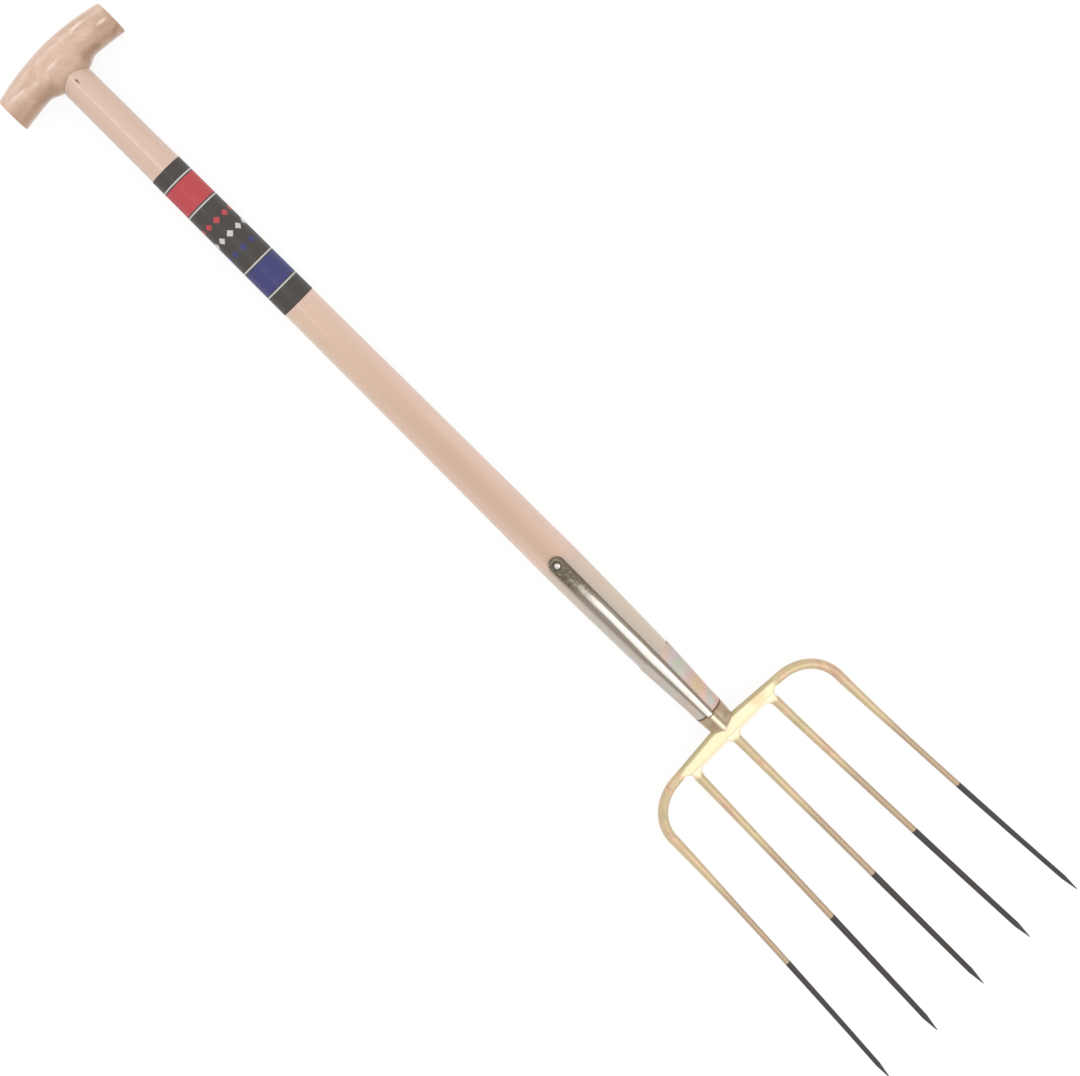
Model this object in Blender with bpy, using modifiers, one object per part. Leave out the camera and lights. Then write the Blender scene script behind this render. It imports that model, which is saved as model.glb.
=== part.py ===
"""Manure fork with a T-grip, five curved tines and a front strap, lying on its back.

Metres, +Z up, standing surface at z = 0. X runs from the grip to the tine tips and Y across the
tines. Every piece is first laid out in the fork's own axes: x measured along the shaft from the
middle of the grip's ends, z from the shaft's axis. One empty then tilts and lifts the whole fork,
so that the grip and the bellies of the tines touch the surface. The front of the fork, with the
strap, faces up.
"""

import math

import bmesh
import bpy
import numpy as np
from mathutils import Vector

# Fits and facets
GAP = 0.0003
ROUND_STEPS = 40
SMALL_STEPS = 24
HEAD_STEPS = 32

# Grip: an arched crosspiece, round in section
GRIP_LENGTH = 0.1190
GRIP_BACK = 0.0224
GRIP_ARCH = 0.0074
GRIP_END_DEPTH = 0.0312
GRIP_ARM_SWELL = 0.0027
GRIP_BOSS_DEPTH = 0.0056
GRIP_BOSS_RISE = 0.0050
GRIP_BOSS_REACH = 0.0220
GRIP_SQUARENESS = 2.3
GRIP_EDGE = 0.0016
GRIP_STATIONS = 22
GRIP_SIDES = 24

# Shaft, with its facets turned so that none of their edges meets an edge of the grip's
TENON_DIAMETER = 0.0200
TENON_LENGTH = 0.0220
TENON_SPIN = math.radians(5.0)
SHAFT_GRIP_DIAMETER = 0.0302
SHAFT_SWELL_DIAMETER = 0.0390
SHAFT_SWELL_AT = 0.6120
SHAFT_SLEEVE_DIAMETER = 0.0354
SHAFT_FALL_POWER = 1.5
SHAFT_SPIN = math.radians(2.0)

# Nail that locks the grip
NAIL_DIAMETER = 0.0020
NAIL_LENGTH = 0.0300
NAIL_SLOPE = math.radians(21.0)
NAIL_ENTRY_FROM_GRIP = 0.0032
NAIL_POINT_DIAMETER = 0.0006
NAIL_HOLE_RUN_OUT = 0.0080

# Film label round the shaft
LABEL_START = 0.1200
LABEL_LENGTH = 0.1590
LABEL_THICKNESS = 0.0004

# Conical sleeve at the lower end
SLEEVE_TOP = 0.7380
SLEEVE_LENGTH = 0.0780
SLEEVE_WALL = 0.0012
SLEEVE_TOP_DIAMETER = 0.0370
SLEEVE_LOW_DIAMETER = 0.0300
SLEEVE_STRAIGHT = 0.0100
SLEEVE_RIM_WIDTH = 0.0034
SLEEVE_RIM_PROUD = 0.0004

# Strap pressed to a half round, on the front and turned a little to one side
STRAP_TOP = 0.6012
STRAP_TOP_WIDTH = 0.0158
STRAP_SLEEVE_WIDTH = 0.0128
STRAP_LOW_WIDTH = 0.0080
STRAP_THICKNESS = 0.0036
STRAP_EDGE = 0.0010
STRAP_JOGGLE = 0.0120
STRAP_TOP_TURN = math.radians(11.7)
STRAP_LOW_TURN = math.radians(8.2)
STRAP_STATIONS = 22
STRAP_SIDES = 10

# Rivet and washer that hold the strap
RIVET_FROM_STRAP_TOP = 0.0078
RIVET_SHANK_DIAMETER = 0.0050
RIVET_HEAD_DIAMETER = 0.0086
RIVET_HEAD_HEIGHT = 0.0024
RIVET_TAIL_HEIGHT = 0.0015
RIVET_SEAT_SINK = 0.0008
WASHER_DIAMETER = 0.0120
WASHER_THICKNESS = 0.0012
WASHER_SEAT_SINK = 0.0028
WASHER_SEAT_MARGIN = 0.0006

# Neck of the head: a cup whose point sinks into the bar, with a ridge along its front
TANG_LENGTH = 0.1140
TANG_BASE_DIAMETER = 0.0120
TANG_TIP_DIAMETER = 0.0060
TANG_END_ROOM = 0.0020
NECK_LENGTH = 0.0185
NECK_LOW_DIAMETER = 0.0276
NECK_POINT_LENGTH = 0.0087
NECK_POINT_DIAMETER = 0.0010
NECK_POINT_POWER = 1.5
NECK_POINT_DROP = 0.0034
NECK_POINT_ASIDE = 0.0019
TANG_ROOT = 0.0060
NOSE_SETBACK = 0.0002
NOSE_LEVEL = 0.0030
NOSE_PROUD = 0.0024
NOSE_END_DIAMETER = 0.0024
NOSE_POINTS = 5

# Cross bar: its front edge is straight, its rear edge sweeps forward, and all edges are bevelled
BAR_WIDTH = 0.0210
BAR_THICKNESS = 0.0072
BAR_DROP = 0.0060
BAR_AHEAD_OF_NECK = 0.0110
BAR_SWEEP = math.radians(5.2)
BAR_END_PAST_TINE = 0.0175
BAR_END_WIDTH = 0.0064
BAR_END_TAPER = 0.0045
BAR_BEVEL = 0.0023
ROOT_FILLET = 0.0070
CORNER_FILLET = 0.0055
FILLET_POINTS = 5
WEB_WIDTH = 0.0092
WEB_POINT_LENGTH = 0.0100

# Tines: one arc in side view, drawn out thinner in three tapers and then to a point
TINE_REACH = 0.3528
TINE_BEND_RADIUS = 0.5300
TINE_ROOT_PITCH = math.radians(12.0)
TINE_WAIST_FROM_BAR = 0.1407
TINE_DIP_LENGTH = 0.1400
TINE_POINT_LENGTH = 0.0150
TINE_POINT_DIAMETER = 0.0007
TINE_FLAT_DIAMETER = 0.0062
TINE_FLAT_RUN = 0.0080
TINE_ROUND_FROM_BAR = 0.0060
TINE_ROUND_PAST_TINE = 0.0148
INNER_ROOT_DIAMETER = 0.0096
INNER_WAIST_DIAMETER = 0.0069
INNER_DIP_DIAMETER = 0.0066
INNER_LOW_DIAMETER = 0.0054
INNER_ROOT_OFFSET = 0.0514
INNER_TIP_OFFSET = 0.0637
OUTER_ROOT_DIAMETER = 0.0100
OUTER_WAIST_DIAMETER = 0.0062
OUTER_DIP_DIAMETER = 0.0059
OUTER_LOW_DIAMETER = 0.0048
OUTER_ROOT_OFFSET = 0.1122
OUTER_TIP_OFFSET = 0.1288
SHOULDER_RADIUS = 0.0445
SHOULDER_POINTS = 8
TINE_FLARE_POWER = 1.1
TINE_POINTS = 12
TINE_SIDE_RESOLUTION = 3

# Places that follow from the sizes above
SLEEVE_END = SLEEVE_TOP + SLEEVE_LENGTH
NECK_FACE = SLEEVE_END + GAP
NECK_END = NECK_FACE + NECK_LENGTH
BAR_CENTRE = NECK_END + BAR_AHEAD_OF_NECK
TIP_X = BAR_CENTRE + TINE_REACH
DIP_X = TIP_X - TINE_DIP_LENGTH
POINT_X = TIP_X - TINE_POINT_LENGTH
BELLY_X = BAR_CENTRE + TINE_BEND_RADIUS * math.sin(TINE_ROOT_PITCH)
BELLY_Z = -BAR_DROP - TINE_BEND_RADIUS * (1.0 - math.cos(TINE_ROOT_PITCH))
RIVET_X = STRAP_TOP + RIVET_FROM_STRAP_TOP
TENON_START = TENON_LENGTH - GRIP_BACK
INNER_DIAMETERS = (INNER_ROOT_DIAMETER, INNER_WAIST_DIAMETER, INNER_DIP_DIAMETER, INNER_LOW_DIAMETER)
OUTER_DIAMETERS = (OUTER_ROOT_DIAMETER, OUTER_WAIST_DIAMETER, OUTER_DIP_DIAMETER, OUTER_LOW_DIAMETER)


def clear_scene():
    """Remove every object that the session starts with."""
    for thing in list(bpy.data.objects):
        bpy.data.objects.remove(thing, do_unlink=True)


def make_collection(name):
    """Add a collection to the scene."""
    group = bpy.data.collections.new(name)
    bpy.context.scene.collection.children.link(group)
    return group


def make_material(name, colour, roughness, metallic):
    """Principled material with one colour."""
    finish = bpy.data.materials.new(name)
    finish.use_nodes = True
    shader = finish.node_tree.nodes["Principled BSDF"]
    shader.inputs["Base Color"].default_value = (*colour, 1.0)
    shader.inputs["Roughness"].default_value = roughness
    shader.inputs["Metallic"].default_value = metallic
    return finish


def add_object(name, data, group, finish=None):
    """Put data into a collection as an object of the fork."""
    thing = bpy.data.objects.new(name, data)
    group.objects.link(thing)
    thing.parent = bpy.data.objects["fork_axes"]
    if finish is not None:
        data.materials.append(finish)
    return thing


def as_cutter(thing):
    """Mark an object as a cutter: shown as wire and left out of the model."""
    thing.hide_render = True
    thing.display_type = "WIRE"
    return thing


def shade(thing, angle=35.0):
    """Smooth shading with edges kept sharp where the faces meet steeply."""
    thing.data.shade_smooth()
    thing.data.set_sharp_from_angle(angle=math.radians(angle))


def mesh_from(name, points, faces=(), edges=()):
    """Mesh from points, with either faces or edges."""
    mesh = bpy.data.meshes.new(name)
    mesh.from_pydata([tuple(p) for p in points], list(edges), list(faces))
    mesh.update()
    return mesh


def turned(name, outline, group, finish=None, steps=ROUND_STEPS, closed=False, spin=0.0):
    """Turn an outline of (place, radius) about an axis, from the far end back to the near one.

    The outline is drawn in the X-Z plane at +X, and the object is laid down so that its local Z
    becomes the fork's x. Spin turns its facets about that axis.
    """
    points = [(radius, 0.0, place) for place, radius in outline]
    edges = [(i, i + 1) for i in range(len(points) - 1)]
    if closed:
        edges.append((len(points) - 1, 0))
    thing = add_object(name, mesh_from(name, points, edges=edges), group, finish)
    screw = thing.modifiers.new("turn", "SCREW")
    screw.axis = "Z"
    screw.steps = steps
    screw.render_steps = steps
    screw.use_merge_vertices = True
    screw.merge_threshold = 0.00001
    screw.use_smooth_shade = True
    thing.rotation_mode = "ZYX"
    thing.rotation_euler = (0.0, math.pi / 2.0, spin)
    return thing


def lofted(name, rings, group, finish=None):
    """Skin rings of equal point count, with flat ends."""
    count = len(rings[0])
    points = [p for ring in rings for p in ring]
    faces = []
    for level in range(len(rings) - 1):
        low = level * count
        high = low + count
        for i in range(count):
            j = (i + 1) % count
            faces.append((low + i, low + j, high + j, high + i))
    last = (len(rings) - 1) * count
    faces.append(tuple(range(count - 1, -1, -1)))
    faces.append(tuple(range(last, last + count)))
    mesh = mesh_from(name, points, faces=faces)
    shape = bmesh.new()
    shape.from_mesh(mesh)
    bmesh.ops.recalc_face_normals(shape, faces=shape.faces)
    shape.to_mesh(mesh)
    shape.free()
    return add_object(name, mesh, group, finish)


def tube(name, points, radii, group, finish=None, resolution=TINE_SIDE_RESOLUTION):
    """Round bar along points with a radius at each, made as a curve and turned into a mesh."""
    curve = bpy.data.curves.new(name + "_path", "CURVE")
    curve.dimensions = "3D"
    curve.bevel_depth = max(radii)
    curve.bevel_resolution = resolution
    curve.use_fill_caps = True
    spline = curve.splines.new("POLY")
    spline.points.add(len(points) - 1)
    for knot, place, radius in zip(spline.points, points, radii):
        knot.co = (*place, 1.0)
        knot.radius = radius / max(radii)
    return mesh_of_curve(name, curve, group, finish)


def mesh_of_curve(name, curve, group, finish=None):
    """Replace a curve by a closed mesh object of the same name."""
    drawn = bpy.data.objects.new(name + "_curve", curve)
    group.objects.link(drawn)
    bpy.context.view_layer.update()
    evaluated = drawn.evaluated_get(bpy.context.evaluated_depsgraph_get())
    mesh = bpy.data.meshes.new_from_object(evaluated)
    shape = bmesh.new()
    shape.from_mesh(mesh)
    bmesh.ops.remove_doubles(shape, verts=shape.verts, dist=0.000005)
    bmesh.ops.recalc_face_normals(shape, faces=shape.faces)
    shape.to_mesh(mesh)
    shape.free()
    bpy.data.objects.remove(drawn, do_unlink=True)
    return add_object(name, mesh, group, finish)


def combine(thing, other, operation):
    """Boolean with the exact solver."""
    step = thing.modifiers.new(operation.lower() + "_" + other.name, "BOOLEAN")
    step.operation = operation
    step.solver = "EXACT"
    step.object = other


def rivet_cylinder(name, low, high, radius, group, steps=SMALL_STEPS):
    """Cylinder along the rivet's axis, between two heights from the shaft's axis."""
    shape = bmesh.new()
    bmesh.ops.create_cone(shape, cap_ends=True, segments=steps, radius1=radius, radius2=radius, depth=high - low)
    mesh = bpy.data.meshes.new(name)
    shape.to_mesh(mesh)
    shape.free()
    thing = add_object(name, mesh, group)
    turn = strap_turn(RIVET_X)
    thing.location = turned_aside((RIVET_X, 0.0, (low + high) / 2.0), turn)
    thing.rotation_euler = (turn, 0.0, 0.0)
    return thing


def shaft_radius(x):
    """Radius of the bare wood at x: it swells towards the head, then falls away to the sleeve."""
    if x <= SHAFT_SWELL_AT:
        share = max(x, 0.0) / SHAFT_SWELL_AT
        return (SHAFT_GRIP_DIAMETER + (SHAFT_SWELL_DIAMETER - SHAFT_GRIP_DIAMETER) * share) / 2.0
    share = min((x - SHAFT_SWELL_AT) / (SLEEVE_TOP - SHAFT_SWELL_AT), 1.0)
    fall = (SHAFT_SWELL_DIAMETER - SHAFT_SLEEVE_DIAMETER) * share**SHAFT_FALL_POWER
    return (SHAFT_SWELL_DIAMETER - fall) / 2.0


def sleeve_radius(x):
    """Outer radius of the sleeve at x, without its rim."""
    cone = SLEEVE_LENGTH - SLEEVE_STRAIGHT
    share = min(max(x - SLEEVE_TOP, 0.0) / cone, 1.0)
    return (SLEEVE_TOP_DIAMETER + (SLEEVE_LOW_DIAMETER - SLEEVE_TOP_DIAMETER) * share) / 2.0


def strap_seat_radius(x):
    """Radius that the strap lies on: the wood, then the sleeve, with a joggle before the rim."""
    if x >= SLEEVE_TOP:
        proud = SLEEVE_RIM_PROUD if x < SLEEVE_TOP + 2.0 * SLEEVE_RIM_WIDTH else 0.0
        return sleeve_radius(x) + proud + GAP
    wood = shaft_radius(x) + GAP
    rim = sleeve_radius(SLEEVE_TOP) + SLEEVE_RIM_PROUD + GAP
    share = min(max((x - SLEEVE_TOP + STRAP_JOGGLE) / (STRAP_JOGGLE - SLEEVE_RIM_WIDTH / 2.0), 0.0), 1.0)
    return wood + (max(rim, wood) - wood) * share


def grip_section(y):
    """Back, front and half height of the grip at y, on the fork's axes."""
    half = GRIP_LENGTH / 2.0
    along = min(abs(y) / half, 1.0)
    back = -GRIP_BACK + GRIP_ARCH * along**2
    arm = GRIP_END_DEPTH + GRIP_ARM_SWELL * (1.0 - along**2)
    boss = math.exp(-((abs(y) / GRIP_BOSS_REACH) ** 6))
    front = back + arm + GRIP_BOSS_DEPTH * boss
    half_height = (arm + GRIP_BOSS_RISE * boss) / 2.0
    return back, front, half_height


def grip_ring(y, inset, y_place):
    """Ring of points round the grip's section at y, drawn in by inset and put at y_place."""
    back, front, half_height = grip_section(y)
    centre = (back + front) / 2.0
    deep = (front - back) / 2.0 - inset
    high = half_height - inset
    ring = []
    for i in range(GRIP_SIDES):
        turn = 2.0 * math.pi * i / GRIP_SIDES
        c = math.cos(turn)
        s = math.sin(turn)
        x = centre + deep * math.copysign(abs(c) ** (2.0 / GRIP_SQUARENESS), c)
        z = high * math.copysign(abs(s) ** (2.0 / GRIP_SQUARENESS), s)
        ring.append((x, y_place, z))
    return ring


def grip_rings(swell):
    """Rings of the grip from end to end; swell pushes the whole form out, for a cutter."""
    half = GRIP_LENGTH / 2.0
    edge = min(GRIP_EDGE, GRIP_END_DEPTH / 4.0)
    rings = []
    edge_shares = (0.0, 0.3, 1.0)
    for share in edge_shares:
        # Quarter round of the end's edge
        drawn_in = edge * (1.0 - math.sin(share * math.pi / 2.0))
        from_end = edge * (1.0 - math.cos(share * math.pi / 2.0))
        y = -half + from_end
        rings.append(grip_ring(y, drawn_in - swell, y - swell * (1.0 - share)))
    inner = half - edge
    for i in range(1, GRIP_STATIONS):
        y = -inner + 2.0 * inner * i / GRIP_STATIONS
        rings.append(grip_ring(y, -swell, y))
    mirrored = [[(x, -y, z) for x, y, z in ring] for ring in reversed(rings[:len(edge_shares)])]
    return rings + mirrored


def make_grip(group, cutters, finish):
    """Grip with its bore for the tenon."""
    grip = lofted("t_grip", grip_rings(0.0), group, finish)
    bore_end = TENON_START - GAP
    bore = turned(
        "cut_grip_bore",
        [(GRIP_LENGTH, 0.0), (GRIP_LENGTH, TENON_DIAMETER / 2.0 + GAP), (bore_end, TENON_DIAMETER / 2.0 + GAP),
         (bore_end, 0.0)],
        cutters,
        steps=SMALL_STEPS,
        spin=TENON_SPIN,
    )
    combine(grip, as_cutter(bore), "DIFFERENCE")
    return grip


def shaft_outline():
    """Outline of the shaft from its lower end back to the grip, with the bore for the tang."""
    end = SLEEVE_END
    bore_tip = NECK_FACE - TANG_LENGTH - TANG_END_ROOM
    inside = GAP + SLEEVE_WALL
    outline = [(bore_tip, 0.0), (bore_tip, TANG_TIP_DIAMETER / 2.0 + GAP), (end, TANG_BASE_DIAMETER / 2.0 + GAP)]
    outline.append((end, SLEEVE_LOW_DIAMETER / 2.0 - inside))
    outline.append((end - SLEEVE_STRAIGHT, SLEEVE_LOW_DIAMETER / 2.0 - inside))
    step = SLEEVE_TOP - GAP
    outline.append((step, sleeve_radius(SLEEVE_TOP) - inside))
    outline.append((step, shaft_radius(step)))
    fall_points = 6
    for i in range(1, fall_points + 1):
        x = step - (step - SHAFT_SWELL_AT) * i / fall_points
        outline.append((x, shaft_radius(x)))
    straight_points = 4
    start = GRIP_LENGTH / 2.0
    for i in range(1, straight_points + 1):
        x = SHAFT_SWELL_AT - (SHAFT_SWELL_AT - start) * i / straight_points
        outline.append((x, shaft_radius(x)))
    _, front, _ = grip_section(0.0)
    shoulder = front / 2.0
    outline.append((shoulder, shaft_radius(shoulder)))
    outline.append((shoulder, 0.0))
    return outline


def make_shaft(group, cutters, finish):
    """Tapered shaft: its end is scribed to the grip and carries a tenon."""
    shaft = turned("shaft", shaft_outline(), group, finish, spin=SHAFT_SPIN)
    form = lofted("cut_grip_form", grip_rings(GAP), cutters)
    combine(shaft, as_cutter(form), "DIFFERENCE")
    _, front, _ = grip_section(0.0)
    root = front + TENON_LENGTH
    tenon = turned(
        "form_tenon",
        [(root, 0.0), (root, TENON_DIAMETER / 2.0), (TENON_START, TENON_DIAMETER / 2.0), (TENON_START, 0.0)],
        cutters,
        steps=SMALL_STEPS,
        spin=TENON_SPIN,
    )
    combine(shaft, as_cutter(tenon), "UNION")
    low = -SHAFT_SWELL_DIAMETER
    hole = rivet_cylinder("cut_rivet_hole", low, -low, RIVET_SHANK_DIAMETER / 2.0 + GAP, cutters)
    combine(shaft, as_cutter(hole), "DIFFERENCE")
    seat_radius = WASHER_DIAMETER / 2.0 + WASHER_SEAT_MARGIN
    seat = rivet_cylinder("cut_washer_seat", low, -washer_seat_height(), seat_radius, cutters)
    combine(shaft, as_cutter(seat), "DIFFERENCE")
    return shaft


def washer_seat_height():
    """Distance of the washer's flat seat below the shaft's axis."""
    return shaft_radius(RIVET_X) - WASHER_SEAT_SINK


def make_nail(group, cutters, finish, drilled):
    """Nail driven slantwise through the shaft's shoulder into the grip, and its hole."""
    _, front, _ = grip_section(0.0)
    entry = Vector((front + NAIL_ENTRY_FROM_GRIP, 0.0, shaft_radius(front)))
    way = Vector((-math.cos(NAIL_SLOPE), 0.0, -math.sin(NAIL_SLOPE)))
    head = entry + way * NAIL_DIAMETER
    tip = head + way * NAIL_LENGTH
    radius = NAIL_DIAMETER / 2.0
    shoulder = tip - way * NAIL_DIAMETER
    radii = [radius, radius, NAIL_POINT_DIAMETER / 2.0]
    nail = tube("grip_nail", [head, shoulder, tip], radii, group, finish, resolution=2)
    outside = head - way * NAIL_HOLE_RUN_OUT
    hole_end = tip + way * GAP
    wide = radius + GAP
    hole = tube("cut_nail_hole", [outside, hole_end], [wide, wide], cutters, resolution=2)
    for piece in drilled:
        combine(piece, as_cutter(hole), "DIFFERENCE")
    return nail


def make_label(group, finish):
    """Film label: a thin tapered sleeve that follows the wood."""
    start = LABEL_START
    end = LABEL_START + LABEL_LENGTH
    inner_start = shaft_radius(start) + GAP
    inner_end = shaft_radius(end) + GAP
    outline = [(end, inner_end), (end, inner_end + LABEL_THICKNESS), (start, inner_start + LABEL_THICKNESS),
               (start, inner_start)]
    return turned("label_band", outline, group, finish, closed=True)


def make_sleeve(group, finish):
    """Conical sleeve with a rolled rim at its top."""
    cone_end = SLEEVE_END - SLEEVE_STRAIGHT
    rim_end = SLEEVE_TOP + SLEEVE_RIM_WIDTH
    low = SLEEVE_LOW_DIAMETER / 2.0
    top = SLEEVE_TOP_DIAMETER / 2.0
    outline = [(SLEEVE_END, low - SLEEVE_WALL), (SLEEVE_END, low), (cone_end, low), (rim_end, sleeve_radius(rim_end))]
    rim_points = 4
    for i in range(rim_points + 1):
        turn = math.pi * i / rim_points
        x = rim_end - SLEEVE_RIM_WIDTH * (0.5 - 0.5 * math.cos(turn))
        if 0 < i < rim_points:
            outline.append((x, sleeve_radius(x) + SLEEVE_RIM_PROUD * math.sin(turn)))
    outline.append((SLEEVE_TOP, top))
    outline.append((SLEEVE_TOP, top - SLEEVE_WALL))
    outline.append((cone_end, low - SLEEVE_WALL))
    return turned("socket_sleeve", outline, group, finish, closed=True)


def strap_width(x):
    """Width of the strap at x: a round end, then a taper that quickens over the sleeve."""
    end_radius = STRAP_TOP_WIDTH / 2.0
    if x <= SLEEVE_TOP:
        share = (x - STRAP_TOP) / (SLEEVE_TOP - STRAP_TOP)
        width = STRAP_TOP_WIDTH + (STRAP_SLEEVE_WIDTH - STRAP_TOP_WIDTH) * share
    else:
        share = (x - SLEEVE_TOP) / SLEEVE_LENGTH
        width = STRAP_SLEEVE_WIDTH + (STRAP_LOW_WIDTH - STRAP_SLEEVE_WIDTH) * share
    from_end = x - STRAP_TOP
    if from_end < end_radius:
        width *= math.sqrt(max(1.0 - (1.0 - from_end / end_radius) ** 2, 0.0))
    return width


def strap_turn(x):
    """Angle at x from the front line round to the strap: more at its top than at the neck."""
    share = min(max((x - STRAP_TOP) / (SLEEVE_END - STRAP_TOP), 0.0), 1.0)
    return STRAP_TOP_TURN + (STRAP_LOW_TURN - STRAP_TOP_TURN) * share


def turned_aside(point, turn):
    """Point turned about the shaft's axis."""
    x, y, z = point
    return (x, y * math.cos(turn) - z * math.sin(turn), y * math.sin(turn) + z * math.cos(turn))


def strap_ring(x):
    """Half-round section of the strap at x, curved below to lie on what carries it."""
    width = strap_width(x)
    seat = strap_seat_radius(x)
    crown = STRAP_EDGE + (STRAP_THICKNESS - STRAP_EDGE) * min(width / STRAP_LOW_WIDTH, 1.0)
    top = []
    bottom = []
    for i in range(STRAP_SIDES + 1):
        turn = math.pi * i / STRAP_SIDES
        y = -width / 2.0 * math.cos(turn)
        z = math.sqrt(seat**2 - y**2)
        top.append((x, y, z + STRAP_EDGE + (crown - STRAP_EDGE) * math.sin(turn)))
        bottom.append((x, y, z))
    return [turned_aside(point, strap_turn(x)) for point in top + bottom[::-1]]


def strap_stations():
    """Places of the strap's sections: close together at the round end and over the sleeve's rim."""
    end_radius = STRAP_TOP_WIDTH / 2.0
    end_turns = [math.radians(degrees) for degrees in (11.0, 22.0, 34.0, 45.0, 56.0, 68.0, 90.0)]
    places = [STRAP_TOP + end_radius * (1.0 - math.cos(turn)) for turn in end_turns]
    start = places[-1]
    for i in range(1, STRAP_STATIONS + 1):
        places.append(start + (SLEEVE_END - start) * i / STRAP_STATIONS)
    rim = [SLEEVE_TOP - STRAP_JOGGLE, SLEEVE_TOP - SLEEVE_RIM_WIDTH / 2.0, SLEEVE_TOP + 2.0 * SLEEVE_RIM_WIDTH]
    spacing = (SLEEVE_END - start) / STRAP_STATIONS
    kept = [x for x in places if all(abs(x - r) > spacing / 3.0 for r in rim)]
    return sorted(kept + rim)


def strap_crest(x):
    """Height of the strap's crest above the shaft's axis."""
    return strap_seat_radius(x) + STRAP_THICKNESS


def make_strap(group, cutters, finish):
    """Strap with the hole and the flat seat for its rivet."""
    strap = lofted("front_strap", [strap_ring(x) for x in strap_stations()], group, finish)
    hole = bpy.data.objects["cut_rivet_hole"]
    combine(strap, hole, "DIFFERENCE")
    seat = strap_crest(RIVET_X) - RIVET_SEAT_SINK
    high = seat + SHAFT_SWELL_DIAMETER
    radius = RIVET_HEAD_DIAMETER / 2.0 + GAP
    flat = rivet_cylinder("cut_rivet_seat", seat, high, radius, cutters)
    combine(strap, as_cutter(flat), "DIFFERENCE")
    return strap


def make_rivet(group, finish):
    """Rivet with a domed head on the strap and a closed tail under the washer."""
    under_head = strap_crest(RIVET_X) - RIVET_SEAT_SINK + GAP
    over_tail = -washer_seat_height() - GAP - WASHER_THICKNESS - GAP
    shank = RIVET_SHANK_DIAMETER / 2.0
    head = RIVET_HEAD_DIAMETER / 2.0
    dome_points = 5
    outline = []
    for i in range(dome_points + 1):
        turn = math.pi / 2.0 * i / dome_points
        outline.append((head * math.sin(turn), under_head + RIVET_HEAD_HEIGHT * math.cos(turn)))
    outline.append((shank, under_head))
    outline.append((shank, over_tail))
    for i in range(dome_points + 1):
        turn = math.pi / 2.0 * (1.0 - i / dome_points)
        outline.append((head * math.sin(turn), over_tail - RIVET_TAIL_HEIGHT * math.cos(turn)))
    rivet = turned("strap_rivet", [(z, r) for r, z in outline], group, finish, steps=SMALL_STEPS)
    rivet.rotation_euler = (strap_turn(RIVET_X), 0.0, 0.0)
    rivet.location = (RIVET_X, 0.0, 0.0)
    return rivet


def make_washer(group, finish):
    """Washer between the wood and the rivet's tail."""
    high = -washer_seat_height() - GAP
    low = high - WASHER_THICKNESS
    inner = RIVET_SHANK_DIAMETER / 2.0 + GAP
    outer = WASHER_DIAMETER / 2.0
    outline = [(high, inner), (high, outer), (low, outer), (low, inner)]
    washer = turned("rivet_washer", outline, group, finish, steps=SMALL_STEPS, closed=True)
    washer.rotation_euler = (strap_turn(RIVET_X), 0.0, 0.0)
    washer.location = (RIVET_X, 0.0, 0.0)
    return washer


def tine_height(x):
    """Height of the tines' centre line at x: one arc, from the cross bar down and up to the tips."""
    run = x - BELLY_X
    return BELLY_Z + TINE_BEND_RADIUS - math.sqrt(TINE_BEND_RADIUS**2 - run**2)


def tine_radius(x, start, diameters):
    """Radius of a tine at x: three tapers from start, between the given diameters, then the point."""
    places = (start, BAR_CENTRE + TINE_WAIST_FROM_BAR, DIP_X, POINT_X, TIP_X)
    sizes = (*diameters, TINE_POINT_DIAMETER)
    return float(np.interp(x, places, sizes)) / 2.0


def flat_limit(past_root):
    """Largest radius near a root: thin within the bar, and full where past_root is 0."""
    sizes = (TINE_FLAT_DIAMETER, OUTER_ROOT_DIAMETER)
    return float(np.interp(past_root, (-TINE_FLAT_RUN, 0.0), sizes)) / 2.0


def flared_path(start, root_offset, tip_offset, extra=()):
    """Points of a tine in plan from start to the tip, with a flare that grows along it."""
    path = list(extra)
    for i in range(TINE_POINTS + 1):
        x = start + (POINT_X - start) * i / TINE_POINTS
        path.append(x)
    path.append(POINT_X + TINE_POINT_LENGTH * 0.5)
    path.append(TIP_X)
    points = []
    for x in sorted(path):
        share = max(x - start, 0.0) / (TIP_X - start)
        points.append((x, root_offset + (tip_offset - root_offset) * share**TINE_FLARE_POWER))
    return points


def shoulder_path():
    """Points of an outer tine in plan from inside the cross bar, round its shoulder."""
    heading = math.pi / 2.0 - BAR_SWEEP
    rear = BAR_CENTRE - BAR_WIDTH / 2.0 + OUTER_ROOT_DIAMETER / 2.0
    bend_y = OUTER_ROOT_OFFSET - SHOULDER_RADIUS * (1.0 - math.cos(heading))
    bend_x = rear + bend_y * math.tan(BAR_SWEEP)
    start_y = INNER_ROOT_OFFSET - INNER_ROOT_DIAMETER
    round_y = INNER_ROOT_OFFSET + TINE_ROUND_PAST_TINE
    straight = (start_y, round_y - TINE_FLAT_RUN, round_y)
    points = [(rear + y * math.tan(BAR_SWEEP), y) for y in straight]
    for i in range(SHOULDER_POINTS + 1):
        turn = heading * (1.0 - i / SHOULDER_POINTS)
        x = bend_x + SHOULDER_RADIUS * (math.sin(heading) - math.sin(turn))
        y = bend_y + SHOULDER_RADIUS * (math.cos(turn) - math.cos(heading))
        points.append((x, y))
    return points


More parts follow.
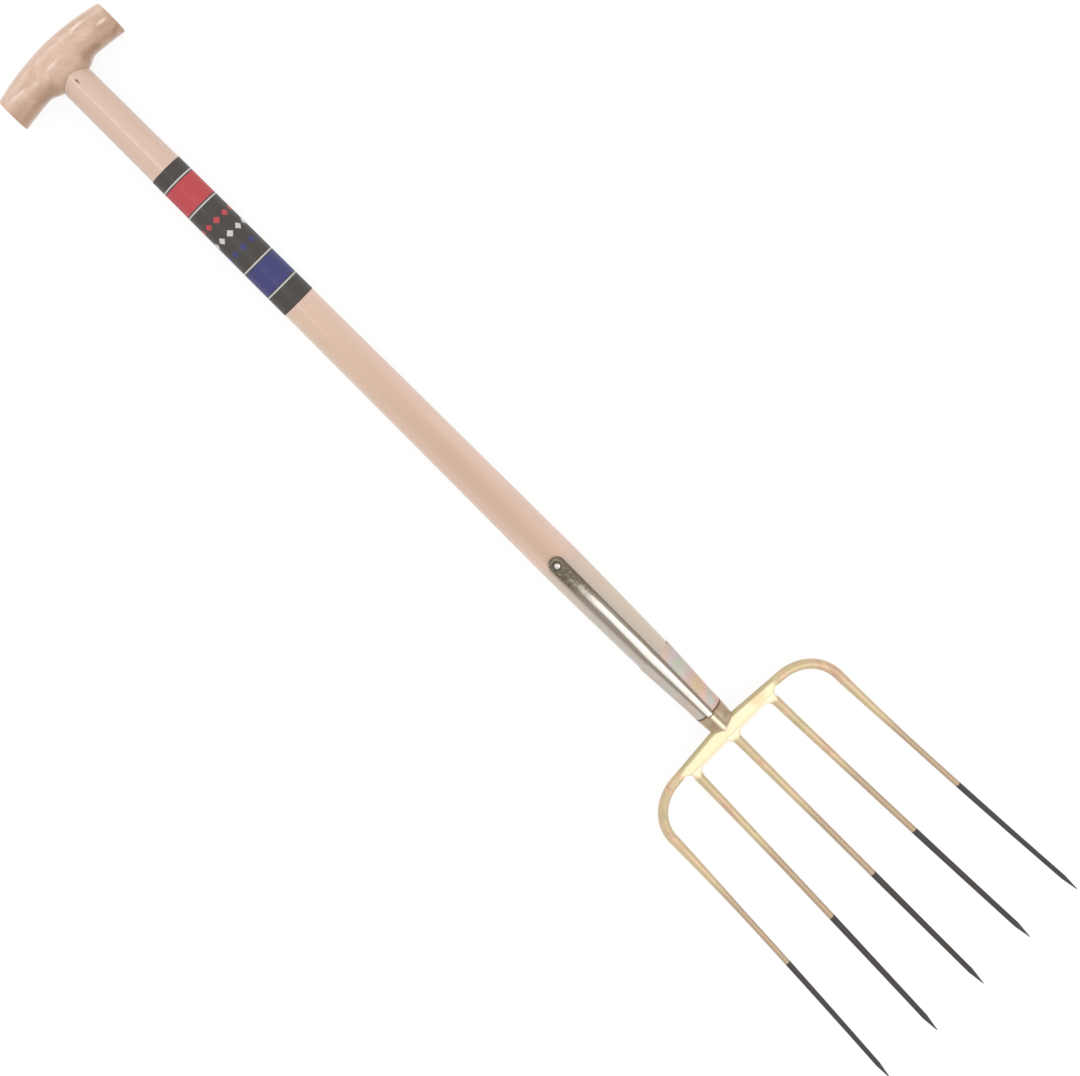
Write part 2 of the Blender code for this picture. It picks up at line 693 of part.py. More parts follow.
def make_tines(cutters):
    """Five tines as closed bars, to be joined with the cross bar."""
    shoulder = shoulder_path()
    bend_end = shoulder[-1][0]
    outer = shoulder[:-1] + flared_path(bend_end, OUTER_ROOT_OFFSET, OUTER_TIP_OFFSET)
    round_x = BAR_CENTRE + BAR_WIDTH / 2.0 + TINE_ROUND_FROM_BAR
    round_y = INNER_ROOT_OFFSET + TINE_ROUND_PAST_TINE
    roots = (round_x - TINE_FLAT_RUN, round_x)
    inner = flared_path(BAR_CENTRE, INNER_ROOT_OFFSET, INNER_TIP_OFFSET, roots)
    plans = [("tine_centre", flared_path(BAR_CENTRE, 0.0, 0.0, roots), BAR_CENTRE, INNER_DIAMETERS)]
    for side, word in ((1.0, "right"), (-1.0, "left")):
        plans.append(("tine_inner_" + word, [(x, side * y) for x, y in inner], BAR_CENTRE, INNER_DIAMETERS))
        plans.append(("tine_outer_" + word, [(x, side * y) for x, y in outer], bend_end, OUTER_DIAMETERS))
    bars = []
    for name, plan, start, sizes in plans:
        points = [(x, y, tine_height(x)) for x, y in plan]
        if start > BAR_CENTRE:
            limits = [flat_limit(abs(y) - round_y) for _, y in plan]
        else:
            limits = [flat_limit(x - round_x) for x, _ in plan]
        radii = [min(tine_radius(x, start, sizes), limit) for (x, _), limit in zip(plan, limits)]
        bars.append(as_cutter(tube("form_" + name, points, radii, cutters)))
    return bars


def quarter(centre_x, centre_y, radius, start, end):
    """Points of a quarter circle, angles in degrees."""
    points = []
    for i in range(FILLET_POINTS + 1):
        turn = math.radians(start + (end - start) * i / FILLET_POINTS)
        points.append((centre_x + radius * math.cos(turn), centre_y + radius * math.sin(turn)))
    return points


def bar_outline(inset):
    """Outline of the cross bar in its own plane, drawn in by inset, with webs at the tines.

    X is measured from the bar's middle line. Past the inner tines the bar narrows into the root of
    the outer tine.
    """
    slope = math.tan(BAR_SWEEP)
    front = BAR_WIDTH / 2.0
    web = WEB_WIDTH / 2.0
    arc_x = front + ROOT_FILLET
    tip_x = arc_x + WEB_POINT_LENGTH * (web - inset) / web
    half = [(tip_x, 0.0)]
    half += quarter(arc_x, web + ROOT_FILLET, ROOT_FILLET + inset, -90.0, -180.0)
    half += quarter(arc_x, INNER_ROOT_OFFSET - web - ROOT_FILLET, ROOT_FILLET + inset, 180.0, 90.0)
    half.append((tip_x, INNER_ROOT_OFFSET))
    root = OUTER_ROOT_DIAMETER / 2.0
    corner_y = INNER_ROOT_OFFSET + web + CORNER_FILLET
    middle = slope * corner_y - front + root
    half += quarter(middle + root + CORNER_FILLET, corner_y, CORNER_FILLET + inset, -90.0, -180.0)
    end_y = INNER_ROOT_OFFSET + BAR_END_PAST_TINE
    end_middle = slope * end_y - front + root
    end_half = BAR_END_WIDTH / 2.0 - inset
    full_y = end_y - BAR_END_TAPER
    full_middle = slope * full_y - front + root
    half.append((full_middle + root - inset, full_y))
    half.append((end_middle + end_half, end_y - inset))
    half.append((end_middle - end_half, end_y - inset))
    half.append((full_middle - root + inset, full_y))
    half.append((inset - front, 0.0))
    other = [(x, -y) for x, y in reversed(half[1:-1])]
    return half + other


def make_bar(cutters):
    """Cross bar: a flat plate with bevelled edges, pitched like the roots of the tines."""
    bevel = min(BAR_BEVEL, BAR_THICKNESS / 3.0)
    high = BAR_THICKNESS / 2.0
    levels = ((-high, bevel), (bevel - high, 0.0), (high - bevel, 0.0), (high, bevel))
    rings = [[(x, y, z) for x, y in bar_outline(inset)] for z, inset in levels]
    bar = lofted("form_cross_bar", rings, cutters)
    bar.location = (BAR_CENTRE, 0.0, -BAR_DROP)
    bar.rotation_euler = (0.0, TINE_ROOT_PITCH, 0.0)
    return as_cutter(bar)


def neck_middle(share):
    """Middle of the neck's point at a share of its length: it sinks, and leans to one side."""
    x = NECK_END + NECK_POINT_LENGTH * share
    return x, -NECK_POINT_ASIDE * share, -NECK_POINT_DROP * share**2


def neck_radius(share):
    """Radius of the neck's point at a share of its length."""
    low = NECK_LOW_DIAMETER / 2.0
    return low + (NECK_POINT_DIAMETER / 2.0 - low) * share**NECK_POINT_POWER


def neck_ring(middle, radius):
    """Ring of points round the neck."""
    x, y, z = middle
    ring = []
    for i in range(HEAD_STEPS):
        turn = 2.0 * math.pi * i / HEAD_STEPS
        ring.append((x, y + radius * math.cos(turn), z + radius * math.sin(turn)))
    return ring


def make_nose(cutters):
    """Ridge on the neck that carries the strap's line on, down to the neck's point."""
    radius = STRAP_LOW_WIDTH / 2.0
    start = NECK_FACE + NOSE_SETBACK
    level = strap_crest(SLEEVE_END) - radius
    points = [turned_aside((x, 0.0, level), STRAP_LOW_TURN) for x in (start, start + NOSE_LEVEL)]
    radii = [radius, radius]
    for i in range(NOSE_POINTS):
        share = i / (NOSE_POINTS - 1)
        slim = radius + (NOSE_END_DIAMETER / 2.0 - radius) * share
        rise = neck_radius(share) + NOSE_PROUD * (1.0 - share / 2.0) - slim
        x, y, z = neck_middle(share)
        points.append((x, y - rise * math.sin(STRAP_LOW_TURN), z + rise * math.cos(STRAP_LOW_TURN)))
        radii.append(slim)
    return as_cutter(tube("form_nose", points, radii, cutters))


def make_tang(cutters):
    """Tapered tang that goes up into the shaft."""
    tip = NECK_FACE - TANG_LENGTH
    root = NECK_FACE + TANG_ROOT
    slope = (TANG_BASE_DIAMETER - TANG_TIP_DIAMETER) / TANG_LENGTH
    root_radius = (TANG_BASE_DIAMETER + slope * TANG_ROOT) / 2.0
    outline = [(root, 0.0), (root, root_radius), (tip, TANG_TIP_DIAMETER / 2.0), (tip, 0.0)]
    return as_cutter(turned("form_tang", outline, cutters, steps=SMALL_STEPS))


def make_head(group, cutters, finish):
    """One forging: tang, neck cup, cross bar and five tines."""
    rings = [neck_ring((NECK_FACE, 0.0, 0.0), SLEEVE_LOW_DIAMETER / 2.0)]
    for share in (0.0, 0.1, 0.25, 0.45, 0.65, 0.85, 1.0):
        rings.append(neck_ring(neck_middle(share), neck_radius(share)))
    head = lofted("fork_head", rings, group, finish)
    for form in [make_tang(cutters), make_bar(cutters), make_nose(cutters)] + make_tines(cutters):
        combine(head, form, "UNION")
    return head


def points_of(pieces):
    """Every point of the finished pieces, in the scene's axes."""
    bpy.context.view_layer.update()
    graph = bpy.context.evaluated_depsgraph_get()
    points = []
    for piece in pieces:
        finished = piece.evaluated_get(graph)
        points += [finished.matrix_world @ vertex.co for vertex in finished.data.vertices]
    return points


def rest_on_surface(frame, pieces):
    """Tilt the fork until its grip and the tines' bellies are level, then set it on z = 0, centred."""
    back, front, half_height = grip_section(0.0)
    grip_centre = Vector(((back + front) / 2.0, 0.0))
    bend_centre = Vector((BELLY_X, BELLY_Z + TINE_BEND_RADIUS))
    reach = bend_centre - grip_centre
    belly = TINE_BEND_RADIUS + tine_radius(BELLY_X, BAR_CENTRE, INNER_DIAMETERS)
    # Angle of the line under both circles, which is turned level
    tilt = math.atan2(reach.y, reach.x) - math.asin((belly - half_height) / reach.length)
    frame.rotation_euler = (0.0, tilt, 0.0)
    points = points_of(pieces)
    ends = (min(p.x for p in points), max(p.x for p in points))
    frame.location = (-sum(ends) / 2.0, 0.0, -min(p.z for p in points))


def build():
    """Make every piece of the fork."""
    clear_scene()
    parts = make_collection("manure_fork")
    cutters = make_collection("cutters")
    frame = bpy.data.objects.new("fork_axes", None)
    parts.objects.link(frame)

    grip_wood = make_material("grip_wood", (0.62, 0.43, 0.29), 0.28, 0.0)
    shaft_wood = make_material("shaft_wood", (0.74, 0.53, 0.39), 0.42, 0.0)
    label_film = make_material("label_film", (0.05, 0.045, 0.04), 0.35, 0.0)
    zinc = make_material("zinc_plate", (0.62, 0.60, 0.50), 0.30, 0.9)
    steel = make_material("rivet_steel", (0.75, 0.74, 0.70), 0.28, 1.0)
    gold = make_material("gold_lacquer", (0.75, 0.55, 0.26), 0.32, 0.6)

    grip = make_grip(parts, cutters, grip_wood)
    shaft = make_shaft(parts, cutters, shaft_wood)
    make_nail(parts, cutters, steel, (grip, shaft))
    make_label(parts, label_film)
    make_sleeve(parts, zinc)
    make_strap(parts, cutters, zinc)
    make_rivet(parts, steel)
    make_washer(parts, steel)
    make_head(parts, cutters, gold)
    pieces = [thing for thing in parts.objects if thing.type == "MESH"]
    for piece in pieces:
        shade(piece)
    rest_on_surface(frame, pieces)


build()
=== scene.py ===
"""Looks of the manure fork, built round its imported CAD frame.

Every piece is drawn in the fork's own axes, in metres: x runs along the shaft from the middle of
the grip's ends to the tips of the tines, y across the tines, and z out of the front, where the
strap is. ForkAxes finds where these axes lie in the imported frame.
"""

import logging
import math
from abc import ABC, abstractmethod
from dataclasses import dataclass
from enum import Enum
from functools import cached_property
from typing import Any, Mapping, Sequence

import bmesh
import bpy
from mathutils import Matrix, Vector


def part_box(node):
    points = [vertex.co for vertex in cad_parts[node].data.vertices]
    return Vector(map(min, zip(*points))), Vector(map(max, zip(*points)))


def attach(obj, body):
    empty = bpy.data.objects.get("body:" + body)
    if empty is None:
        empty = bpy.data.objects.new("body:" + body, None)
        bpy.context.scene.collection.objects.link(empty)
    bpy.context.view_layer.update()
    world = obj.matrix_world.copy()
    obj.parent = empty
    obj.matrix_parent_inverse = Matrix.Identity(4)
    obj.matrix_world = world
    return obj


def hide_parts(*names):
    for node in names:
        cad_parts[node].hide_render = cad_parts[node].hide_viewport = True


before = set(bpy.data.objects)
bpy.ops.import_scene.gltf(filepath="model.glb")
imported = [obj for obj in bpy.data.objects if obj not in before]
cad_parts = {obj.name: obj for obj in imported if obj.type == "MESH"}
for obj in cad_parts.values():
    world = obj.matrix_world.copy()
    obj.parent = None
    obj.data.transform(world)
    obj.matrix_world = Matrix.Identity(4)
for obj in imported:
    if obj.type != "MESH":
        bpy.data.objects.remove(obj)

LOG = logging.getLogger("manure_fork")
WHITE = (1.0, 1.0, 1.0, 1.0)
FORWARD = Vector((1.0, 0.0, 0.0))

Point = tuple[float, float, float]
Place = tuple[float, float]
Ring = list[Point]
Colour = tuple[float, float, float]


class Slot(Enum):
    """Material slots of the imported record."""

    GRIP_WOOD = "grip_wood"
    SHAFT_WOOD = "shaft_wood"
    LABEL = "label_film"
    ZINC = "zinc_plate"
    STEEL = "rivet_steel"
    GOLD = "gold_lacquer"


class Axis(Enum):
    """Axes of the fork, as rows of its coordinates."""

    X = 0
    Y = 1
    Z = 2

    def drawn(self, factor: float) -> Point:
        """Stretch of a noise pattern that is drawn out along this axis."""
        return tuple(factor if axis is self else 1.0 for axis in Axis)


# Shader tools


class Signal:
    """A number that varies over a surface: wraps a socket and adds Math nodes for each operator."""

    def __init__(self, sheet: "Sheet", socket: Any) -> None:
        """Keep the sheet that new nodes go into, and an output socket or a plain number."""
        self.sheet = sheet
        self.socket = socket

    def apply(self, operation: str, *others: Any) -> "Signal":
        """Add one Math node.

        Args:
            operation: Blender's name for the operation.
            others: Further operands, signals or numbers.

        Returns:
            The result as a signal.
        """
        operands = [self.socket] + [unwrap(other) for other in others]
        node = self.sheet.node("ShaderNodeMath", {"operation": operation}, dict(enumerate(operands)))
        return Signal(self.sheet, node.outputs[0])

    def __add__(self, other: Any) -> "Signal":
        """Sum."""
        return self.apply("ADD", other)

    __radd__ = __add__

    def __mul__(self, other: Any) -> "Signal":
        """Product."""
        return self.apply("MULTIPLY", other)

    __rmul__ = __mul__

    def __sub__(self, other: Any) -> "Signal":
        """Difference."""
        return self.apply("SUBTRACT", other)

    def __rsub__(self, other: Any) -> "Signal":
        """Difference from a number, such as 1 - mask."""
        return Signal(self.sheet, other).apply("SUBTRACT", self)

    def __truediv__(self, other: Any) -> "Signal":
        """Quotient."""
        return self.apply("DIVIDE", other)

    def magnitude(self) -> "Signal":
        """Value without its sign."""
        return self.apply("ABSOLUTE")

    def fraction(self) -> "Signal":
        """Part after the decimal point."""
        return self.apply("FRACT")

    def larger(self, other: Any) -> "Signal":
        """Larger of two values."""
        return self.apply("MAXIMUM", other)

    def hypotenuse(self, other: "Signal") -> "Signal":
        """Length of (self, other)."""
        return (self * self + other * other).apply("SQRT")

    def arc_to(self, other: "Signal") -> "Signal":
        """Angle of (other, self), in radians."""
        return self.apply("ARCTAN2", other)

    def map(self, kind: str, places: Place, values: Place) -> "Signal":
        """Map the run between two places to the run between two values, held at its ends.

        Args:
            kind: Blender's name for the interpolation.
            places: The two places.
            values: The values there.

        Returns:
            The value.
        """
        ends = dict(zip(("From Min", "From Max", "To Min", "To Max"), (*places, *values)))
        node = self.sheet.node("ShaderNodeMapRange", {"interpolation_type": kind}, {"Value": self, **ends})
        return Signal(self.sheet, node.outputs[0])

    def line(self, places: Place, values: Place) -> "Signal":
        """Straight line between the values at two places, held at its ends."""
        return self.map("LINEAR", places, values)

    def reading(self, table: Sequence[Place]) -> "Signal":
        """Read a table in straight lines, held at its ends.

        Args:
            table: Pairs of a place and its value, in order.

        Returns:
            The value.
        """
        total: Any = table[0][1]
        for (low, first), (high, second) in zip(table, table[1:]):
            total = self.line((low, high), (0.0, second - first)) + total
        return total

    def step(self, low: float, high: float) -> "Signal":
        """Rise smoothly from 0 at low to 1 at high."""
        return self.map("SMOOTHSTEP", (low, high), (0.0, 1.0))

    def fall(self, low: float, high: float) -> "Signal":
        """Fall smoothly from 1 at low to 0 at high."""
        return 1.0 - self.step(low, high)

    def band(self, low: float, high: float, soft: float) -> "Signal":
        """Be 1 between two values and 0 outside them, with edges of a soft width."""
        half = soft / 2.0
        return self.step(low - half, low + half) * self.fall(high - half, high + half)


def unwrap(value: Any) -> Any:
    """Socket of a signal, or the value itself."""
    return value.socket if isinstance(value, Signal) else value


@dataclass(frozen=True)
class Pattern:
    """Noise over a surface.

    scale is in repeats to the metre, detail counts the finer layers, twist distorts the pattern, and
    stretch holds the factors on the three coordinates.
    """

    scale: float
    detail: float = 3.0
    twist: float = 0.0
    stretch: Point = (1.0, 1.0, 1.0)


class Sheet:
    """Node sheet of one material or world, with the ways to add to it."""

    def __init__(self, owner: Any) -> None:
        """Clear the owner's nodes.

        Args:
            owner: The material or world whose nodes are drawn.
        """
        owner.use_nodes = True
        self.tree = owner.node_tree
        self.tree.nodes.clear()

    def node(self, kind: str, settings: Mapping[str, Any], inputs: Mapping[Any, Any]) -> Any:
        """Add any node.

        Args:
            kind: Blender's type name of the node.
            settings: Its settings, such as an operation; "stops" holds a ramp's (place, colour) pairs.
            inputs: Values, sockets or signals by socket name or number.

        Returns:
            The node.
        """
        node = self.tree.nodes.new(kind)
        for key, value in settings.items():
            if key == "stops":
                self.set_stops(node.color_ramp, value)
            else:
                setattr(node, key, value)
        for key, value in inputs.items():
            plain = unwrap(value)
            if isinstance(plain, bpy.types.NodeSocket):
                self.tree.links.new(plain, node.inputs[key])
            else:
                node.inputs[key].default_value = plain
        return node

    @staticmethod
    def set_stops(ramp: Any, stops: Sequence[tuple[float, Colour]]) -> None:
        """Write the stops of a colour ramp.

        Args:
            ramp: The ramp.
            stops: Pairs of a place from 0 to 1 and a colour.
        """
        while len(ramp.elements) < len(stops):
            ramp.elements.new(1.0)
        for element, (place, colour) in zip(ramp.elements, stops):
            element.position = place
            element.color = (*colour, 1.0)

    @cached_property
    def vector(self) -> Any:
        """Socket of the fork coordinates of the surface."""
        return self.node("ShaderNodeTexCoord", {}, {}).outputs["Object"]

    def coordinates(self) -> tuple[Signal, Signal, Signal]:
        """Fork coordinates x, y and z of the surface, as signals."""
        parts = self.node("ShaderNodeSeparateXYZ", {}, {0: self.vector})
        return tuple(Signal(self, parts.outputs[axis.value]) for axis in Axis)

    def noise(self, pattern: Pattern) -> Signal:
        """Lay a noise pattern over the surface.

        Args:
            pattern: The pattern.

        Returns:
            The noise, from 0 to 1.
        """
        moved = self.node("ShaderNodeMapping", {}, {"Vector": self.vector, "Scale": pattern.stretch})
        noise = self.node("ShaderNodeTexNoise", {}, {
            "Vector": moved.outputs[0],
            "Scale": pattern.scale,
            "Detail": pattern.detail,
            "Distortion": pattern.twist,
        })
        return Signal(self, noise.outputs[0])

    def blend(self, first: Any, second: Any, share: Any) -> Any:
        """Mix two colours. The node's sockets go by number, because their names repeat.

        Args:
            first: Colour or socket at share 0.
            second: Colour or socket at share 1.
            share: Signal or number.

        Returns:
            The socket of the mixed colour.
        """
        colours = [(*c, 1.0) if isinstance(c, tuple) else c for c in (first, second)]
        settings = {"data_type": "RGBA", "blend_type": "MIX", "clamp_factor": True}
        return self.node("ShaderNodeMix", settings, {0: share, 6: colours[0], 7: colours[1]}).outputs[2]

    def ramp(self, share: Signal, tints: Sequence[Colour], low: float = 0.0, high: float = 1.0) -> Any:
        """Colour from a ramp, read at a share, with its tints spaced evenly from low to high."""
        stops = [(low + (high - low) * i / (len(tints) - 1), tint) for i, tint in enumerate(tints)]
        return self.node("ShaderNodeValToRGB", {"stops": stops}, {0: share}).outputs[0]

    def bump(self, height: Signal, distance: float, strength: float) -> Any:
        """Normal from a height, where a height of 1 stands for a distance in metres."""
        inputs = {"Strength": strength, "Distance": distance, "Height": height}
        return self.node("ShaderNodeBump", {}, inputs).outputs[0]

    def surface(self, inputs: Mapping[str, Any]) -> None:
        """End the sheet in a Principled shader with these values and links of its sockets."""
        shader = self.node("ShaderNodeBsdfPrincipled", {}, inputs)
        self.node("ShaderNodeOutputMaterial", {}, {"Surface": shader.outputs[0]})

    def choose_seen(self, lit: Any, shown: Any, output: str) -> None:
        """End the sheet in one shader for light, and another for what looks at it.

        Args:
            lit: The node that lights other surfaces.
            shown: The node that the camera, mirrors and glass see.
            output: Blender's type name of the output node.
        """
        rays = self.node("ShaderNodeLightPath", {}, {})
        seen = Signal(self, rays.outputs["Is Camera Ray"]).larger(rays.outputs["Is Glossy Ray"])
        seen = seen.larger(rays.outputs["Is Transmission Ray"])
        mixed = self.node("ShaderNodeMixShader", {}, {0: seen, 1: lit.outputs[0], 2: shown.outputs[0]})
        self.node(output, {}, {"Surface": mixed.outputs[0]})


# Finishes


@dataclass(frozen=True)
class StrapLine:
    """Where the strap runs, for the finishes on and beside it."""

    top: float
    sleeve_top: float
    end: float
    turns: Place
    half_widths: Point
    back_run: Place = (0.0, 0.004)
    left_run: Place = (-0.006, -0.001)
    far: float = 0.05

    def half(self, x: Signal) -> Signal:
        """Half of the strap's width at x."""
        return x.reading(list(zip((self.top, self.sleeve_top, self.end), self.half_widths)))

    def aside(self, x: Signal, y: Signal, z: Signal) -> Signal:
        """Distance from the strap's middle line, positive towards +y."""
        return y + z * x.line((self.top, self.end), self.turns)

    def left(self, y: Signal) -> Signal:
        """Mark what lies left of the strap."""
        return y.fall(*self.left_run)

    def painted_shadow(self, x: Signal, y: Signal, z: Signal, reach: float, shares: Place) -> Signal:
        """Share of the painted shadow beside the strap, which is heavier on its left.

        Args:
            x: Place along the fork.
            y: Place across it.
            z: Height.
            reach: Distance from the strap's edge at which the painted shadow ends.
            shares: Share on the right, and what the left adds to it.

        Returns:
            The share.
        """
        behind = z.fall(*self.back_run)
        before = x.fall(self.top, self.top + self.half_widths[0])
        beside = self.aside(x, y, z).magnitude() - self.half(x) + (behind + before) * self.far
        return beside.fall(0.0, reach) * (shares[0] + shares[1] * self.left(y))


@dataclass(frozen=True, kw_only=True)
class Finish(ABC):
    """A finish with its values, which makes the material.

    A run is a pair of values between which something fades in or out. A share says how much of a
    tone is laid over what lies below it.
    """

    name: str

    def make(self) -> bpy.types.Material:
        """Make the material.

        Returns:
            The material, with its nodes drawn.
        """
        material = bpy.data.materials.new(self.name)
        self.draw(Sheet(material))
        return material

    @abstractmethod
    def draw(self, sheet: Sheet) -> None:
        """Draw the finish on an empty node sheet."""


@dataclass(frozen=True, kw_only=True)
class LacqueredWood(Finish):
    """Turned hardwood under clear lacquer: soft clouds, faint streaks and a few short flecks."""

    light: Colour
    warm: Colour
    dark: Colour
    along: Axis
    clouds: Pattern
    streak_share: float
    fleck_share: float
    coat: float
    coat_roughness: float
    cloud_run: Place = (0.34, 0.68)
    streak_stretch: float = 0.02
    broad_scale: float = 210.0
    broad_run: Place = (0.42, 0.74)
    fine_scale: float = 1100.0
    fine_run: Place = (0.45, 0.75)
    fine_share: float = 0.6
    fleck_stretch: float = 0.10
    fleck_scale: float = 1500.0
    fleck_run: Place = (0.64, 0.72)
    sparse_scale: float = 120.0
    sparse_run: Place = (0.52, 0.66)
    roughness: float = 0.42
    fine_roughness: float = 0.10
    fleck_coat_loss: float = 0.1
    fleck_depth: float = 0.7
    fine_depth: float = 0.2
    relief: float = 0.00003
    relief_strength: float = 0.15

    def grain(self, sheet: Sheet) -> tuple[Any, Signal, Signal]:
        """Draw the grain.

        Args:
            sheet: The node sheet.

        Returns:
            The colour, the fine streaks and the flecks.
        """
        streaked = self.along.drawn(self.streak_stretch)
        flecked = self.along.drawn(self.fleck_stretch)
        broad = sheet.noise(Pattern(self.broad_scale, 2.0, stretch=streaked))
        fine = sheet.noise(Pattern(self.fine_scale, 2.0, stretch=streaked))
        sparse = sheet.noise(Pattern(self.sparse_scale, 1.0, stretch=flecked)).step(*self.sparse_run)
        flecks = sheet.noise(Pattern(self.fleck_scale, 1.0, stretch=flecked)).step(*self.fleck_run) * sparse

        colour = sheet.blend(self.light, self.warm, sheet.noise(self.clouds).step(*self.cloud_run))
        colour = sheet.blend(colour, self.dark, broad.step(*self.broad_run) * self.streak_share)
        thin_streaks = fine.step(*self.fine_run) * self.streak_share * self.fine_share
        colour = sheet.blend(colour, self.dark, thin_streaks)
        colour = sheet.blend(colour, self.dark, flecks * self.fleck_share)
        return colour, fine, flecks

    def lacquer(self, sheet: Sheet, colour: Any, fine: Signal, flecks: Signal) -> None:
        """End the sheet in lacquered wood.

        Args:
            sheet: The node sheet.
            colour: The colour.
            fine: The fine streaks.
            flecks: The flecks.
        """
        height = 1.0 - flecks * self.fleck_depth - fine * self.fine_depth
        sheet.surface({
            "Base Color": colour,
            "Roughness": self.roughness + self.fine_roughness * fine,
            "Coat Weight": self.coat - self.fleck_coat_loss * flecks,
            "Coat Roughness": self.coat_roughness,
            "Normal": sheet.bump(height, self.relief, self.relief_strength),
        })


@dataclass(frozen=True, kw_only=True)
class ShaftWood(LacqueredWood):
    """Shaft's wood, with painted shade at the grip end, along its front and round the strap,
    with a painted shadow beside the strap, and with a darker slot round the nail.
    """

    shaft: "Shaft"
    strap: StrapLine
    name: str = "shaft_wood"
    light: Colour = (0.768, 0.543, 0.428)
    warm: Colour = (0.732, 0.512, 0.397)
    dark: Colour = (0.46, 0.28, 0.18)
    along: Axis = Axis.X
    clouds: Pattern = Pattern(60.0, twist=0.3, stretch=Axis.X.drawn(0.10))
    streak_share: float = 0.05
    fleck_share: float = 0.7
    coat: float = 1.0
    coat_roughness: float = 0.18
    front_run: Place = (0.0, 0.01)
    # upper is painted shade towards the grip end of the shaft.
    upper: Colour = (0.680, 0.477, 0.373)
    upper_shade_run: Place = (0.10, 0.30)
    upper_shade_share: float = 0.8
    # tan is painted shade along the middle of the front, growing towards the head.
    tan: Colour = (0.600, 0.395, 0.272)
    front_shade_run: Place = (0.15, 0.50)
    front_shade_y: float = -0.002
    front_shade_side_run: Place = (0.003, 0.015)
    # grey and the tones below it are painted shade on the wood from the strap's top down, greyer to its left.
    grey: Colour = (0.515, 0.445, 0.380)
    outer_shade: Colour = (0.665, 0.490, 0.375)
    left_shade: Colour = (0.607, 0.504, 0.397)
    strap_shade_run: Place = (0.601, 0.618)
    strap_shade_share: float = 0.95
    outer_run: Place = (0.004, 0.014)
    low_outer_shade: Colour = (0.615, 0.505, 0.370)
    low_left_shade: Colour = (0.505, 0.462, 0.395)
    low_run: Place = (0.630, 0.690)
    # This brown gives the painted shadow beside the strap and the darker slot round the nail.
    shadow_and_slot_tone: Colour = (0.24, 0.13, 0.075)
    shadow_reach: float = 0.0046
    shadow_shares: Place = (0.06, 0.60)
    slot_back: float = 0.0012
    slot_length: float = 0.0030
    slot_width: float = 0.0011
    slot_run: Place = (0.75, 1.25)
    slot_share: float = 0.35

    def draw(self, sheet: Sheet) -> None:
        """Draw the grain, the painted shade at the grip end, along the front and round the strap, the
        painted shadow beside the strap, and the slot at the nail.

        Args:
            sheet: The node sheet.
        """
        x, y, z = sheet.coordinates()
        colour, fine, flecks = self.grain(sheet)
        front = z.step(*self.front_run)
        # Painted shade towards the grip end of the shaft.
        colour = sheet.blend(colour, self.upper, x.fall(*self.upper_shade_run) * self.upper_shade_share)
        # Painted shade along the middle of the front, growing towards the head.
        middle = (y - self.front_shade_y).magnitude().fall(*self.front_shade_side_run) * front
        colour = sheet.blend(colour, self.tan, middle * x.step(*self.front_shade_run))

        # Painted shade on the wood from the strap's top down, greyer to the left of the strap.
        low = x.step(*self.low_run)
        outer = sheet.blend(self.outer_shade, self.low_outer_shade, low)
        left = sheet.blend(self.left_shade, self.low_left_shade, low)
        tone = sheet.blend(self.grey, outer, y.step(*self.outer_run))
        tone = sheet.blend(tone, left, self.strap.left(y))
        colour = sheet.blend(colour, tone, x.step(*self.strap_shade_run) * self.strap_shade_share)
        # Painted shadow beside the strap, heavier on its left.
        colour = sheet.blend(colour, self.shadow_and_slot_tone, self.strap.painted_shadow(x, y, z, self.shadow_reach, self.shadow_shares))

        along = (x - (self.shaft.nail_line()[0].x - self.slot_back)) / self.slot_length
        slot = along.hypotenuse(y / self.slot_width).fall(*self.slot_run) * front
        colour = sheet.blend(colour, self.shadow_and_slot_tone, slot * self.slot_share)
        self.lacquer(sheet, colour, fine, flecks)


